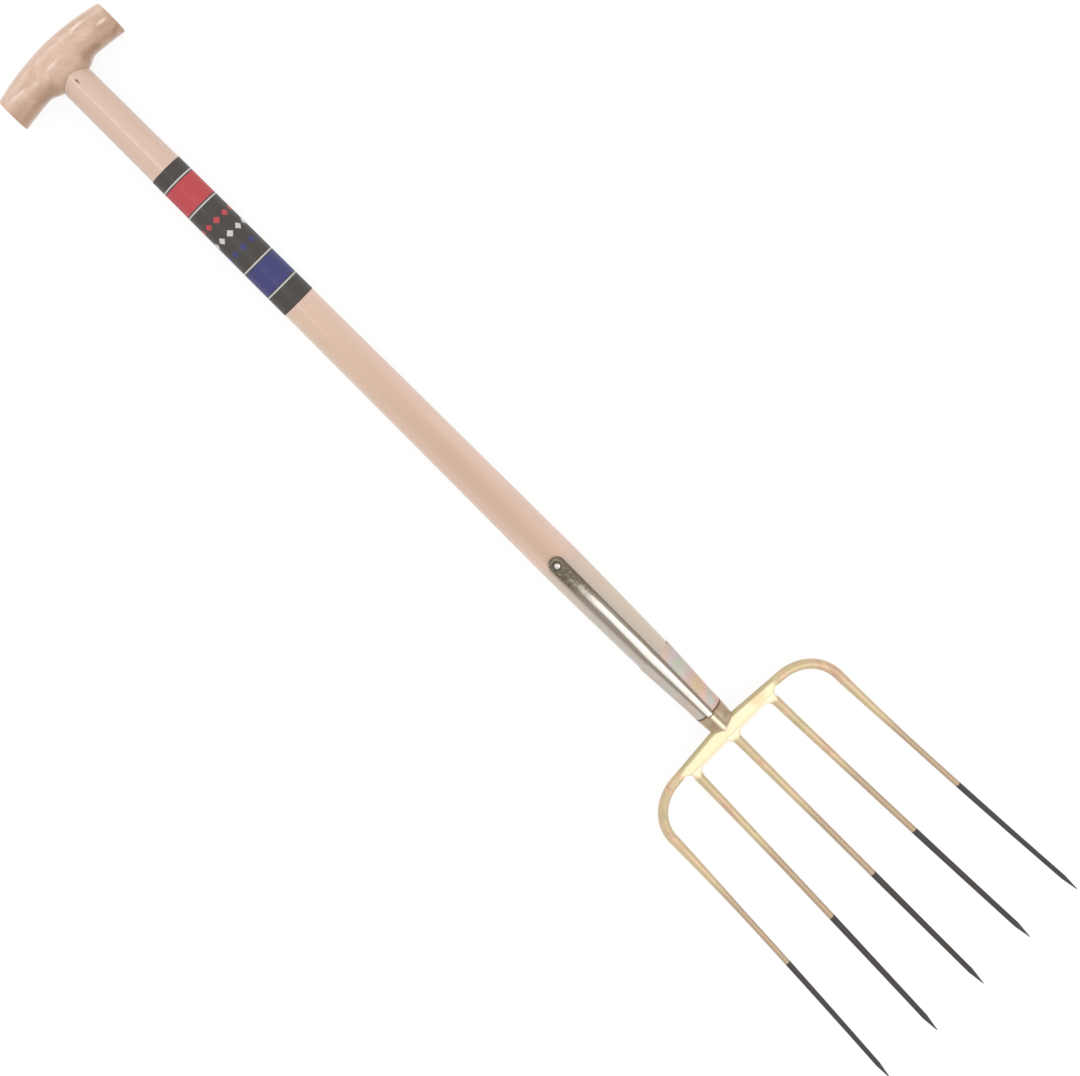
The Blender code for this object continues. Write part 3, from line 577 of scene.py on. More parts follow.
@dataclass(frozen=True, kw_only=True)
class GripWood(LacqueredWood):
    """Grip's wood: painted shade in blotches along its inner side and where the shaft enters, with end
    grain at its cut ends.

    Each gleam, a painted highlight, is given by its x, its y and its reach along y.
    """

    grip: "TGrip"
    name: str = "grip_wood"
    light: Colour = (0.735, 0.500, 0.374)
    warm: Colour = (0.615, 0.405, 0.286)
    dark: Colour = (0.38, 0.21, 0.13)
    along: Axis = Axis.Y
    clouds: Pattern = Pattern(42.0, twist=1.6, stretch=Axis.Y.drawn(0.6))
    streak_share: float = 0.10
    fleck_share: float = 0.20
    coat: float = 0.9
    coat_roughness: float = 0.24
    blotches: Pattern = Pattern(55.0, twist=0.8)
    blotch_run: Place = (0.36, 0.64)
    # This colour is painted shade along the grip's inner side, in blotches.
    inner_shade: Colour = (0.36, 0.195, 0.108)
    inner_shade_share: float = 0.58
    inner_shade_blotch_share: float = 0.5
    bow: float = 1.9
    inner_run: Place = (-0.0025, 0.0127)
    inner_ends: Place = (-0.045, -0.028)
    inner_shares: Place = (0.65, 1.0)
    # Painted shade where the shaft enters the grip.
    joint_shade: Colour = (0.62, 0.41, 0.28)
    joint_run: Place = (-0.010, 0.010)
    joint_side_run: Place = (0.010, 0.022)
    joint_share: float = 0.6
    # pale gives the swirls of figure and the painted highlights of the gleams.
    pale: Colour = (0.86, 0.68, 0.56)
    swirls: Pattern = Pattern(30.0, 2.0, 2.2, Axis.Y.drawn(0.6))
    swirl_lines: float = 7.0
    swirl_run: Place = (0.1, 0.5)
    swirl_share: float = 0.16
    # Gleams are painted highlights along the front of the grip.
    gleams: tuple[Point, ...] = (
        (-0.0062, -0.0440, 0.0125), (-0.0040, -0.0060, 0.0085),
        (-0.0117, 0.0310, 0.0130), (-0.0010, 0.0500, 0.0075))
    gleam_width: float = 0.0024
    gleam_wander: float = 0.006
    gleam_run: Place = (0.2, 1.0)
    gleam_front_run: Place = (0.0, 0.008)
    gleam_share: float = 0.8
    end_grain: Colour = (0.50, 0.33, 0.20)
    end_run: Place = (-0.0004, 0.0002)
    ring_middle: float = 0.03
    ring_width: float = 0.0024
    ring_run: Place = (0.3, 0.9)
    ring_share: float = 0.3
    pores: Pattern = Pattern(2600.0, 1.0)
    pore_run: Place = (0.6, 0.7)
    pore_share: float = 0.4

    def draw(self, sheet: Sheet) -> None:
        """Draw the grain, the painted shade inside and at the joint, the figure, the painted gleams and the
        cut ends.

        Args:
            sheet: The node sheet.
        """
        x, y, z = sheet.coordinates()
        colour, fine, flecks = self.grain(sheet)
        blotch = sheet.noise(self.blotches)
        # Painted shade along the inner side of the grip, weaker at the end of one arm, and in blotches.
        depth = x + y * y * self.bow
        inner = depth.step(*self.inner_run) * y.line(self.inner_ends, self.inner_shares)
        inner_shade = self.inner_shade_share + self.inner_shade_blotch_share * blotch.step(*self.blotch_run)
        colour = sheet.blend(colour, self.inner_shade, inner * inner_shade)
        # Painted shade where the shaft enters the grip.
        near_joint = y.magnitude().fall(*self.joint_side_run) * x.step(*self.joint_run)
        colour = sheet.blend(colour, self.joint_shade, near_joint * self.joint_share)
        swirl = (sheet.noise(self.swirls) * self.swirl_lines).fraction()
        lines = (swirl - 0.5).magnitude().step(*self.swirl_run)
        colour = sheet.blend(colour, self.pale, lines * (1.0 - inner) * self.swirl_share)

        # Painted highlights: pale streaks along the front of the grip.
        wander = (blotch - 0.5) * self.gleam_wander
        front = z.step(*self.gleam_front_run)
        for at_x, at_y, reach in self.gleams:
            across = (x - at_x + wander) / self.gleam_width
            gleam = across.hypotenuse((y - at_y) / reach).fall(*self.gleam_run)
            colour = sheet.blend(colour, self.pale, gleam * front * self.gleam_share)

        ring = (x.hypotenuse(z - self.ring_middle) / self.ring_width).fraction()
        pores = sheet.noise(self.pores).step(*self.pore_run)
        marks = ring.step(*self.ring_run) * self.ring_share + pores * self.pore_share
        cut = (y.magnitude() - self.grip.length / 2.0).step(*self.end_run)
        colour = sheet.blend(colour, sheet.blend(self.end_grain, self.dark, marks), cut)
        self.lacquer(sheet, colour, fine, flecks)


@dataclass(frozen=True, kw_only=True)
class PrintedFilm(Finish):
    """Charcoal film with a plain pattern of hoops and diamonds, placed by shares of its length."""

    label: "LabelBand"
    name: str = "label_film"
    ground: Colour = (0.046, 0.038, 0.033)
    first: Colour = (0.50, 0.05, 0.06)
    second: Colour = (0.035, 0.035, 0.16)
    line: Colour = (0.62, 0.60, 0.57)
    hoops: tuple[Place, Place] = ((0.10, 0.26), (0.70, 0.86))
    line_outside: float = 0.016
    line_inside: float = 0.008
    print_edge: float = 0.004
    diamonds_round: int = 10
    diamond_rows: Point = (0.38, 0.48, 0.58)
    diamond_slope: float = 16.0
    diamond_run: Place = (0.33, 0.37)
    scuffed: Colour = (0.32, 0.30, 0.28)
    scuffs: Pattern = Pattern(900.0, 4.0, stretch=Axis.X.drawn(0.4))
    scuff_run: Place = (0.62, 0.8)
    scuff_share: float = 0.25
    haze: Pattern = Pattern(60.0)
    roughness: float = 0.42
    haze_roughness: float = 0.2
    coat: float = 0.08
    coat_roughness: float = 0.1
    relief: float = 0.0002
    relief_strength: float = 0.35

    def draw(self, sheet: Sheet) -> None:
        """Draw the print and its scuffs.

        Args:
            sheet: The node sheet.
        """
        x, y, z = sheet.coordinates()
        along = (x - self.label.start) / self.label.length
        colour = self.ground
        for (low, high), ink in zip(self.hoops, (self.first, self.second)):
            for reach, tone in ((self.line_outside, self.line), (self.line_inside, self.ground), (0.0, ink)):
                colour = sheet.blend(colour, tone, along.band(low - reach, high + reach, self.print_edge))

        turns = y.arc_to(z) / (2.0 * math.pi)
        cell = (turns * self.diamonds_round + (self.diamonds_round + 0.5)).fraction() - 0.5
        for row, ink in zip(self.diamond_rows, (self.first, self.line, self.second)):
            distance = cell.magnitude() + (along - row).magnitude() * self.diamond_slope
            colour = sheet.blend(colour, ink, distance.fall(*self.diamond_run))

        scuffs = sheet.noise(self.scuffs).step(*self.scuff_run)
        haze = sheet.noise(self.haze)
        sheet.surface({
            "Base Color": sheet.blend(colour, self.scuffed, scuffs * self.scuff_share),
            "Roughness": self.roughness + self.haze_roughness * haze,
            "Coat Weight": self.coat,
            "Coat Roughness": self.coat_roughness,
            "Normal": sheet.bump(haze, self.relief, self.relief_strength),
        })


@dataclass(frozen=True, kw_only=True)
class ChromatedZinc(Finish):
    """Zinc plating on the sleeve, under a yellow film that shimmers pink and green."""

    shaft: "Shaft"
    strap: StrapLine
    name: str = "sleeve_zinc"
    base: Colour = (0.57, 0.52, 0.47)
    tints: tuple[Colour, ...] = (
        (0.58, 0.505, 0.415), (0.67, 0.495, 0.405), (0.60, 0.505, 0.52), (0.53, 0.55, 0.45),
        (0.59, 0.545, 0.49), (0.65, 0.455, 0.455), (0.63, 0.50, 0.31), (0.76, 0.49, 0.40),
        (0.56, 0.545, 0.49), (0.72, 0.475, 0.43))
    wander: Pattern = Pattern(85.0, 2.0, 0.5)
    wander_share: float = 0.34
    slant: float = 5.0
    tint_run: Place = (-0.003, 0.005)
    tint_share: float = 0.3
    tint_right_share: float = 0.65
    # This colour gives the stains and the painted shadow beside the strap.
    stain_and_shadow: Colour = (0.24, 0.20, 0.155)
    stains: Pattern = Pattern(210.0, 4.0)
    stain_run: Place = (0.58, 0.8)
    stain_share: float = 0.3
    shadow_reach: float = 0.0028
    shadow_shares: Place = (0.25, 0.45)
    seam: Colour = (0.16, 0.07, 0.04)
    seam_run: Place = (-0.0016, -0.0004)
    seam_share: float = 0.7
    # A painted shadow in the seam's colour at the right of the rim, where the rim stands off the wood.
    rim_shadow_run: Place = (0.0010, 0.0022)
    rim_shadow_side_run: Place = (0.0150, 0.0168)
    brushing: Pattern = Pattern(1500.0, stretch=Axis.X.drawn(0.05))
    metal: float = 0.5
    roughness: float = 0.46
    added_roughness: float = 0.10
    brush_depth: float = 0.6
    stain_depth: float = 0.4
    relief: float = 0.00005
    relief_strength: float = 0.3

    def draw(self, sheet: Sheet) -> None:
        """Draw the shimmer along the sleeve, its stains, the painted shadow beside the strap, its lower seam
        and a painted shadow at the right of its rim.

        Args:
            sheet: The node sheet.
        """
        x, y, z = sheet.coordinates()
        top = self.shaft.sleeve_top
        end = self.shaft.sleeve_end
        wander = sheet.noise(self.wander) - 0.5
        shimmer = (x - top) / (end - top) + wander * self.wander_share + y * self.slant
        tinted = y.step(*self.tint_run) * self.tint_right_share + self.tint_share
        colour = sheet.blend(self.base, sheet.ramp(shimmer, self.tints), tinted)

        brushed = sheet.noise(self.brushing)
        stain = sheet.noise(self.stains)
        colour = sheet.blend(colour, self.stain_and_shadow, stain.step(*self.stain_run) * self.stain_share)
        # Painted shadow beside the strap, heavier on its left.
        colour = sheet.blend(colour, self.stain_and_shadow, self.strap.painted_shadow(x, y, z, self.shadow_reach, self.shadow_shares))
        colour = sheet.blend(colour, self.seam, (x - end).step(*self.seam_run) * self.seam_share)
        # Painted shadow at the right of the rim, in the seam's colour.
        colour = sheet.blend(colour, self.seam, (x - top).fall(*self.rim_shadow_run) * y.step(*self.rim_shadow_side_run))
        height = brushed * self.brush_depth + stain * self.stain_depth
        sheet.surface({
            "Base Color": colour,
            "Metallic": self.metal,
            "Roughness": self.roughness + self.added_roughness * brushed + self.added_roughness * stain,
            "Normal": sheet.bump(height, self.relief, self.relief_strength),
        })


@dataclass(frozen=True, kw_only=True)
class StrapPlating(Finish):
    """Plating on the pressed strap, with painted light: a highlight along its crest, shade on its flanks
    and edges, and shade over its rougher, flattened top.

    band_middle and band_half are tables along x of the painted highlight's middle line and half width,
    as shares of the strap's half width.
    """

    strap: StrapLine
    name: str = "strap_zinc"
    # crest is a painted highlight colour; flank and rim are painted shade.
    crest: Colour = (0.93, 0.88, 0.78)
    flank: Colour = (0.30, 0.255, 0.212)
    rim: Colour = (0.16, 0.12, 0.09)
    rim_shade_run: Place = (0.84, 0.98)
    rim_shade_share: float = 0.6
    # The bright band is the painted highlight.
    band_middle: tuple[Place, ...] = ((0.601, 0.06), (0.687, 0.10), (0.775, 0.0), (0.816, -0.05))
    band_half: tuple[Place, ...] = ((0.601, 0.28), (0.687, 0.36), (0.727, 0.47), (0.775, 0.49), (0.816, 0.60))
    band_soft: float = 0.19
    wander: Pattern = Pattern(80.0, 2.0, stretch=Axis.X.drawn(0.5))
    wander_share: float = 0.16
    mottling: Pattern = Pattern(420.0, 4.0)
    mottle_run: Place = (0.56, 0.8)
    mottle_share: float = 0.3
    # Painted shade over the strap's flattened top, which is also rougher.
    shaded_top: Colour = (0.12, 0.105, 0.065)
    dull_run: Place = (0.622, 0.668)
    dull_ragged: float = 0.020
    dull_slant: float = 0.006
    dull_mottle_run: Place = (0.42, 0.66)
    dull_mottle_share: float = 0.75
    dull_rim_run: Place = (0.45, 0.85)
    dull_rim_share: float = 0.8
    brushing: Pattern = Pattern(1500.0, stretch=Axis.X.drawn(0.05))
    metal: float = 0.8
    roughness: float = 0.26
    brush_roughness: float = 0.12
    dull_roughness: float = 0.14
    relief: float = 0.00006
    relief_strength: float = 0.4

    def draw(self, sheet: Sheet) -> None:
        """Draw the painted highlight on the crest, the painted shade on the flanks and edges, and the
        painted shade over the rougher top.

        Args:
            sheet: The node sheet.
        """
        x, y, z = sheet.coordinates()
        side = self.strap.aside(x, y, z) / self.strap.half(x)
        wander = sheet.noise(self.wander) - 0.5
        middle = side - x.reading(self.band_middle) + wander * self.wander_share
        past_band = middle.magnitude() - x.reading(self.band_half)
        # Painted highlight along the crest, painted shade on the flanks.
        colour = sheet.blend(self.crest, self.flank, past_band.step(-self.band_soft, self.band_soft))
        # Painted shade along both edges.
        colour = sheet.blend(colour, self.rim, side.magnitude().step(*self.rim_shade_run) * self.rim_shade_share)

        mottle = sheet.noise(self.mottling)
        colour = sheet.blend(colour, self.flank, mottle.step(*self.mottle_run) * self.mottle_share)
        # Painted shade over the flattened top, darker still towards one edge, and rougher there.
        ragged = (mottle - 0.5) * self.dull_ragged
        shaded_top = (x + ragged - side * self.dull_slant).fall(*self.dull_run)
        blotched = mottle.step(*self.dull_mottle_run) * self.dull_mottle_share
        shaded_top_colour = sheet.blend(self.shaded_top, self.flank, blotched)
        shaded_top_colour = sheet.blend(shaded_top_colour, self.rim, side.step(*self.dull_rim_run) * self.dull_rim_share)

        brushed = sheet.noise(self.brushing)
        sheet.surface({
            "Base Color": sheet.blend(colour, shaded_top_colour, shaded_top),
            "Metallic": self.metal,
            "Roughness": self.roughness + self.brush_roughness * brushed + shaded_top * self.dull_roughness,
            "Normal": sheet.bump(brushed * 0.5 + mottle * 0.5, self.relief, self.relief_strength),
        })


@dataclass(frozen=True, kw_only=True)
class BareSteel(Finish):
    """Plain steel with fine scratches and small dark pits, and painted shade towards a rim round an axis.

    axis is the (x, y) of the axis. rim_shade_run gives distances from it, which by default nothing reaches.
    """

    base: Colour
    # This colour gives the pits and the painted shade towards the rim.
    pits_and_shade: Colour
    pit_share: float
    roughness: float
    axis: Place = (0.0, 0.0)
    rim_shade_run: Place = (1.0, 2.0)
    rim_shade_share: float = 0.9
    scratches: Pattern = Pattern(2600.0, stretch=Axis.Y.drawn(0.1))
    pits: Pattern = Pattern(800.0)
    pit_run: Place = (0.5, 0.68)
    metal: float = 1.0
    scratch_roughness: float = 0.15
    relief: float = 0.00004
    relief_strength: float = 0.5

    def draw(self, sheet: Sheet) -> None:
        """Draw the scratches, the pits and the painted shade towards the rim.

        Args:
            sheet: The node sheet.
        """
        x, y, _ = sheet.coordinates()
        scratch = sheet.noise(self.scratches)
        pits = sheet.noise(self.pits).step(*self.pit_run)
        # Painted shade towards the rim, round the axis.
        rim = (x - self.axis[0]).hypotenuse(y - self.axis[1]).step(*self.rim_shade_run)
        dark = (pits * self.pit_share).larger(rim * self.rim_shade_share)
        sheet.surface({
            "Base Color": sheet.blend(self.base, self.pits_and_shade, dark),
            "Metallic": self.metal,
            "Roughness": self.roughness + self.scratch_roughness * scratch,
            "Normal": sheet.bump(scratch * 0.5 - pits * 0.5, self.relief, self.relief_strength),
        })


@dataclass(frozen=True, kw_only=True)
class GoldLacquer(Finish):
    """Forged steel under gold-tinted lacquer, its tips dipped in black, with painted highlights on the
    bar's face, its front bevel and the neck's ridge, and painted shade on the neck and the bar's rear.

    Each burnt patch is given by its x from the bar's middle line, its y and its reach.
    """

    head: "ForkHead"
    strap: StrapLine
    name: str = "gold_lacquer"
    # The bar's face colour is a painted highlight.
    cream_highlight: Colour = (0.93, 0.82, 0.54)
    burnt: Colour = (0.86, 0.60, 0.36)
    burnt_at: tuple[Point, ...] = ((-0.003, 0.041, 0.013), (-0.004, -0.066, 0.010))
    burnt_run: Place = (0.3, 1.0)
    burnt_share: float = 0.75
    # rear is painted shade on the bar's rear bevel and in a thin line just before the front bevel.
    rear: Colour = (0.46, 0.38, 0.20)
    rear_shade_bevels: Place = (0.6, 2.2)
    rear_shade_share: float = 0.9
    line_band: Place = (-0.0026, -0.0012)
    line_soft: float = 0.0012
    line_share: float = 0.32
    # edge is a painted highlight on the front bevel.
    edge: Colour = (0.94, 0.87, 0.66)
    edge_highlight_start: float = -0.0006
    edge_highlight_soft: float = 0.0008
    edge_highlight_share: float = 0.8
    tints: tuple[Colour, ...] = (
        (0.53, 0.44, 0.25), (0.64, 0.50, 0.30), (0.60, 0.48, 0.28), (0.69, 0.50, 0.32), (0.60, 0.40, 0.26))
    tint_ends: Place = (0.34, 0.66)
    shimmer: Pattern = Pattern(75.0, twist=0.4, stretch=Axis.X.drawn(0.35))
    low_tone: Colour = (0.45, 0.325, 0.215)
    low_run: Place = (-0.115, -0.075)
    low_share: float = 0.85
    past_bar_run: Place = (0.001, 0.006)
    past_end_run: Place = (-0.008, 0.001)
    # The neck's colour is painted shade, and neck_lit_flank a painted highlight on one side.
    neck: Colour = (0.46, 0.345, 0.215)
    neck_lit_flank: Colour = (0.47, 0.37, 0.245)
    light_rise: Place = (0.0010, 0.0040)
    light_fall: Place = (0.0060, 0.0130)
    neck_dark: Colour = (0.24, 0.14, 0.08)
    soot: Pattern = Pattern(120.0)
    soot_run: Place = (0.48, 0.72)
    soot_share: float = 0.5
    # ridge is a painted highlight along the neck's ridge.
    ridge: Colour = (0.90, 0.80, 0.60)
    ridge_aside: float = 0.0005
    ridge_run: Place = (0.0008, 0.0026)
    seam_run: Place = (0.0006, 0.0018)
    seam_share: float = 0.8
    neck_side_run: Place = (0.0006, 0.0012)
    neck_tip_run: Place = (0.0, 0.0008)
    neck_end_run: Place = (-0.0004, 0.0004)
    neck_rise_run: Place = (0.0002, 0.0009)
    scale: Pattern = Pattern(420.0, 4.0, stretch=Axis.X.drawn(0.6))
    scale_run: Place = (0.58, 0.8)
    scale_share: float = 0.16
    black: Colour = (0.030, 0.024, 0.021)
    dip_lean: float = 0.018
    dip_run: Place = (-0.0002, 0.0002)
    drips: Pattern = Pattern(500.0, 2.0, stretch=Axis.X.drawn(0.2))
    drip_reach: float = 0.0016
    metal: float = 0.5
    roughness: float = 0.34
    scale_roughness: float = 0.14
    dip_roughness: float = 0.1
    coat: float = 0.3
    coat_roughness: float = 0.12
    scale_depth: float = 0.7
    dip_height: float = 0.3
    relief: float = 0.00010
    relief_strength: float = 0.4

    def neck_mask(self, x: Signal, y: Signal, z: Signal) -> Signal:
        """Mark the neck: behind its end, and what stands above the bar's face.

        Args:
            x: Place along the fork.
            y: Place across it.
            z: Height.

        Returns:
            The mask.
        """
        head = self.head
        above = z + (x - head.bar_centre) * math.tan(head.root_pitch) - head.face_height
        inside = (y.magnitude() - head.neck_low_diameter / 2.0).fall(*self.neck_side_run)
        inside = inside * (x - (head.neck_end + head.neck_point_length)).fall(*self.neck_tip_run)
        behind = (x - head.neck_end).fall(*self.neck_end_run)
        return (above.step(*self.neck_rise_run) * inside).larger(behind)

    def bar_colour(self, sheet: Sheet, x: Signal, y: Signal) -> Any:
        """Colour the cross bar: a pale face that is a painted highlight, heated patches, a thin line of
        painted shade in front, a painted highlight on the front bevel, and painted shade on the rear.

        Args:
            sheet: The node sheet.
            x: Place along the fork.
            y: Place across it.

        Returns:
            The socket of the colour.
        """
        head = self.head
        from_middle = x - head.bar_centre
        # The face colour is a painted highlight.
        bar = self.cream_highlight
        for at_x, at_y, reach in self.burnt_at:
            away = ((from_middle - at_x) / reach).hypotenuse((y - at_y) / reach)
            bar = sheet.blend(bar, self.burnt, away.fall(*self.burnt_run) * self.burnt_share)
        # Painted shade on the rear bevel.
        from_rear = from_middle + head.bar_width / 2.0 - y.magnitude() * math.tan(head.bar_sweep)
        at_rear = (from_rear / head.bar_bevel).fall(*self.rear_shade_bevels)
        bar = sheet.blend(bar, self.rear, at_rear * self.rear_shade_share)
        # A thin line of painted shade on the face just before the front bevel.
        past_face = from_middle - head.bar_width / 2.0 + head.bar_bevel
        bar = sheet.blend(bar, self.rear, past_face.band(*self.line_band, self.line_soft) * self.line_share)
        # Painted highlight on the front bevel.
        edge = past_face.band(self.edge_highlight_start, head.bar_bevel, self.edge_highlight_soft)
        return sheet.blend(bar, self.edge, edge * self.edge_highlight_share)

    def neck_colour(self, sheet: Sheet, x: Signal, aside: Signal) -> Any:
        """Colour the neck in painted shade, with a painted highlight on one side and along the ridge under
        the strap's line, soot, and a dark seam.

        Args:
            sheet: The node sheet.
            x: Place along the fork.
            aside: Distance from the strap's line.

        Returns:
            The socket of the colour.
        """
        # Painted shade over the neck, with a painted highlight on one side.
        light = aside.step(*self.light_rise) * aside.fall(*self.light_fall)
        neck = sheet.blend(self.neck, self.neck_lit_flank, light)
        soot = sheet.noise(self.soot).step(*self.soot_run)
        neck = sheet.blend(neck, self.neck_dark, soot * self.soot_share)
        # Painted highlight along the ridge under the strap's line.
        ridge = (aside - self.ridge_aside).magnitude().fall(*self.ridge_run)
        neck = sheet.blend(neck, self.ridge, ridge)
        seam = (x - self.head.neck_face).fall(*self.seam_run)
        return sheet.blend(neck, self.neck_dark, seam * self.seam_share)

    def draw(self, sheet: Sheet) -> None:
        """Draw the tines, the bar, the neck and the black dip.

        Args:
            sheet: The node sheet.
        """
        head = self.head
        x, y, z = sheet.coordinates()
        tine = sheet.ramp(sheet.noise(self.shimmer), self.tints, *self.tint_ends)
        tine = sheet.blend(tine, self.low_tone, (x - head.dip).step(*self.low_run) * self.low_share)
        past_bar = (x - (head.bar_centre + head.bar_width / 2.0)).step(*self.past_bar_run)
        past_end = (y.magnitude() - head.round_y).step(*self.past_end_run)
        colour = sheet.blend(self.bar_colour(sheet, x, y), tine, past_bar.larger(past_end))
        neck = self.neck_colour(sheet, x, self.strap.aside(x, y, z))
        colour = sheet.blend(colour, neck, self.neck_mask(x, y, z))
        scale = sheet.noise(self.scale)
        colour = sheet.blend(colour, self.neck, scale.step(*self.scale_run) * self.scale_share)

        drips = (sheet.noise(self.drips) - 0.5) * self.drip_reach
        dipped = (x + y * self.dip_lean + drips - head.dip).step(*self.dip_run)
        height = scale * self.scale_depth + dipped * self.dip_height
        sheet.surface({
            "Base Color": sheet.blend(colour, self.black, dipped),
            "Metallic": self.metal * (1.0 - dipped),
            "Roughness": self.roughness + self.scale_roughness * scale + dipped * self.dip_roughness,
            "Coat Weight": self.coat,
            "Coat Roughness": self.coat_roughness,
            "Normal": sheet.bump(height, self.relief, self.relief_strength),
        })


@dataclass(frozen=True, kw_only=True)
class PaleGround(Finish):
    """White ground that keeps the fork's shadow, drawn faint to the camera."""

    name: str = "pale_ground"
    albedo: float = 0.8
    glow: float = 0.87
    shadow_share: float = 0.16

    def draw(self, sheet: Sheet) -> None:
        """Draw a pale ground that lights the fork, and a nearly white one that is seen.

        Args:
            sheet: The node sheet.
        """
        plain, shadow = (sheet.node("ShaderNodeBsdfDiffuse", {}, {"Color": (grey, grey, grey, 1.0)})
                         for grey in (self.albedo, self.shadow_share))
        glow = sheet.node("ShaderNodeEmission", {}, {"Color": WHITE, "Strength": self.glow})
        shown = sheet.node("ShaderNodeAddShader", {}, {0: shadow.outputs[0], 1: glow.outputs[0]})
        sheet.choose_seen(plain, shown, "ShaderNodeOutputMaterial")


# Mesh tools


@dataclass(frozen=True)
class ForkAxes:
    """Where the fork's own axes lie in the row frame."""

    to_row: Matrix

    @classmethod
    def from_frame(cls, first: tuple[str, float], second: tuple[str, float]) -> "ForkAxes":
        """Find the axes from two round nodes.

        Args:
            first: A node round the shaft, and the fork's x of its widest section.
            second: The same for a second node.

        Returns:
            The axes.
        """
        centres = []
        for node, _ in (first, second):
            low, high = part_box(node)
            centres.append((low + high) / 2.0)
        run = second[1] - first[1]
        lean = math.asin((centres[1].z - centres[0].z) / run)
        turn = Matrix.Rotation(-lean, 4, "Y")
        low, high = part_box(first[0])
        end = Vector((high.x - math.sin(lean) * (high.z - low.z) / 2.0, 0.0, centres[0].z))
        return cls(Matrix.Translation(end - turn @ Vector((first[1], 0.0, 0.0))) @ turn)


def add_to_scene(name: str, data: Any) -> bpy.types.Object:
    """Put data into the scene.

    Args:
        name: Name of the new object.
        data: Its mesh, lamp or camera.

    Returns:
        The object.
    """
    thing = bpy.data.objects.new(name, data)
    bpy.context.scene.collection.objects.link(thing)
    return thing


def mesh_of(name: str, shape: bmesh.types.BMesh) -> bpy.types.Mesh:
    """Turn a bmesh into a mesh.

    Args:
        name: Name of the mesh.
        shape: The bmesh, which is freed.

    Returns:
        The mesh.
    """
    mesh = bpy.data.meshes.new(name)
    shape.to_mesh(mesh)
    shape.free()
    return mesh


@dataclass(frozen=True)
class Workshop:
    """Makes meshes in the fork's axes and hangs them on the frame."""

    axes: ForkAxes
    lathe_steps: int = 96

    def add(self, name: str, shape: bmesh.types.BMesh) -> bpy.types.Object:
        """Turn a bmesh into an object in the fork's axes.

        Args:
            name: Name of the piece.
            shape: The mesh, which is freed.

        Returns:
            The object.
        """
        bmesh.ops.recalc_face_normals(shape, faces=shape.faces)
        piece = add_to_scene(name, mesh_of(name, shape))
        piece.matrix_world = self.axes.to_row
        return piece

    def loft(self, name: str, rings: Sequence[Ring], closed: bool = False) -> bpy.types.Object:
        """Skin rings of equal point count.

        Args:
            name: Name of the piece.
            rings: The rings in order.
            closed: Whether the last ring joins the first; otherwise both ends are capped.

        Returns:
            The object.
        """
        shape = bmesh.new()
        rows = [[shape.verts.new(point) for point in ring] for ring in rings]
        pairs = list(zip(rows, rows[1:]))
        if closed:
            pairs.append((rows[-1], rows[0]))
        for low, high in pairs:
            for i in range(len(low)):
                j = (i + 1) % len(low)
                shape.faces.new((low[i], low[j], high[j], high[i]))
        if not closed:
            shape.faces.new(rows[0])
            shape.faces.new(rows[-1])
        return self.add(name, shape)

    def lathe(self, name: str, outline: Sequence[Place], closed: bool = False) -> bpy.types.Object:
        """Turn an outline of (x, radius), a loop if closed, about the shaft's axis."""
        rings = [circle((x, 0.0, 0.0), FORWARD, radius, self.lathe_steps) for x, radius in outline]
        return self.loft(name, rings, closed)

    def sweep(self, name: str, points: Sequence[Point], radii: Sequence[float],
              steps: int = 28) -> bpy.types.Object:
        """Round bar along a path.

        Args:
            name: Name of the piece.
            points: The path.
            radii: Radius at each point.
            steps: Facets round the bar.

        Returns:
            The object.
        """
        path = [Vector(point) for point in points]
        rings = []
        for i, centre in enumerate(path):
            way = (path[min(i + 1, len(path) - 1)] - path[max(i - 1, 0)]).normalized()
            rings.append(circle(centre, way, radii[i], steps))
        return self.loft(name, rings)

    def cut(self, piece: bpy.types.Object, cutter: bpy.types.Object) -> None:
        """Cut a hole or a seat into a piece.

        Args:
            piece: The piece that is changed.
            cutter: The form that is cut away, which is used up.
        """
        step = piece.modifiers.new("cut", "BOOLEAN")
        step.operation = "DIFFERENCE"
        step.solver = "EXACT"
        step.object = cutter
        self.settle(piece)
        bpy.data.objects.remove(cutter, do_unlink=True)

    @staticmethod
    def settle(piece: bpy.types.Object) -> None:
        """Apply the modifiers of a piece.

        Args:
            piece: The piece, which gets a new mesh.
        """
        bpy.context.view_layer.update()
        shown = piece.evaluated_get(bpy.context.evaluated_depsgraph_get())
        mesh = bpy.data.meshes.new_from_object(shown)
        piece.modifiers.clear()
        old = piece.data
        piece.data = mesh
        mesh.name = piece.name
        bpy.data.meshes.remove(old)

    @staticmethod
    def dress(piece: bpy.types.Object, finish: bpy.types.Material, slot: Slot, node: str,
              angle: float = 35.0) -> None:
        """Give a piece its finish and hang it on the frame.

        Args:
            piece: The piece.
            finish: Its material.
            slot: The record's slot that the finish stands for; not used.
            node: CAD node that the piece stands for.
            angle: Angle in degrees above which an edge stays sharp.
        """
        piece.data.materials.clear()
        piece.data.materials.append(finish)
        piece.data.shade_smooth()
        piece.data.set_sharp_from_angle(angle=math.radians(angle))
        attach(piece, "root")
        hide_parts(node)


def circle(centre: Point, way: Vector, radius: float, steps: int) -> Ring:
    """Circle of points across a direction.

    Args:
        centre: Middle of the circle.
        way: Direction that the circle's plane faces.
        radius: Radius.
        steps: Number of points.

    Returns:
        The points.
    """
    side = way.cross(Vector((0.0, 0.0, 1.0))).normalized()
    up = side.cross(way)
    middle = Vector(centre)
    turns = [2.0 * math.pi * i / steps for i in range(steps)]
    return [tuple(middle + radius * (side * math.cos(t) + up * math.sin(t))) for t in turns]


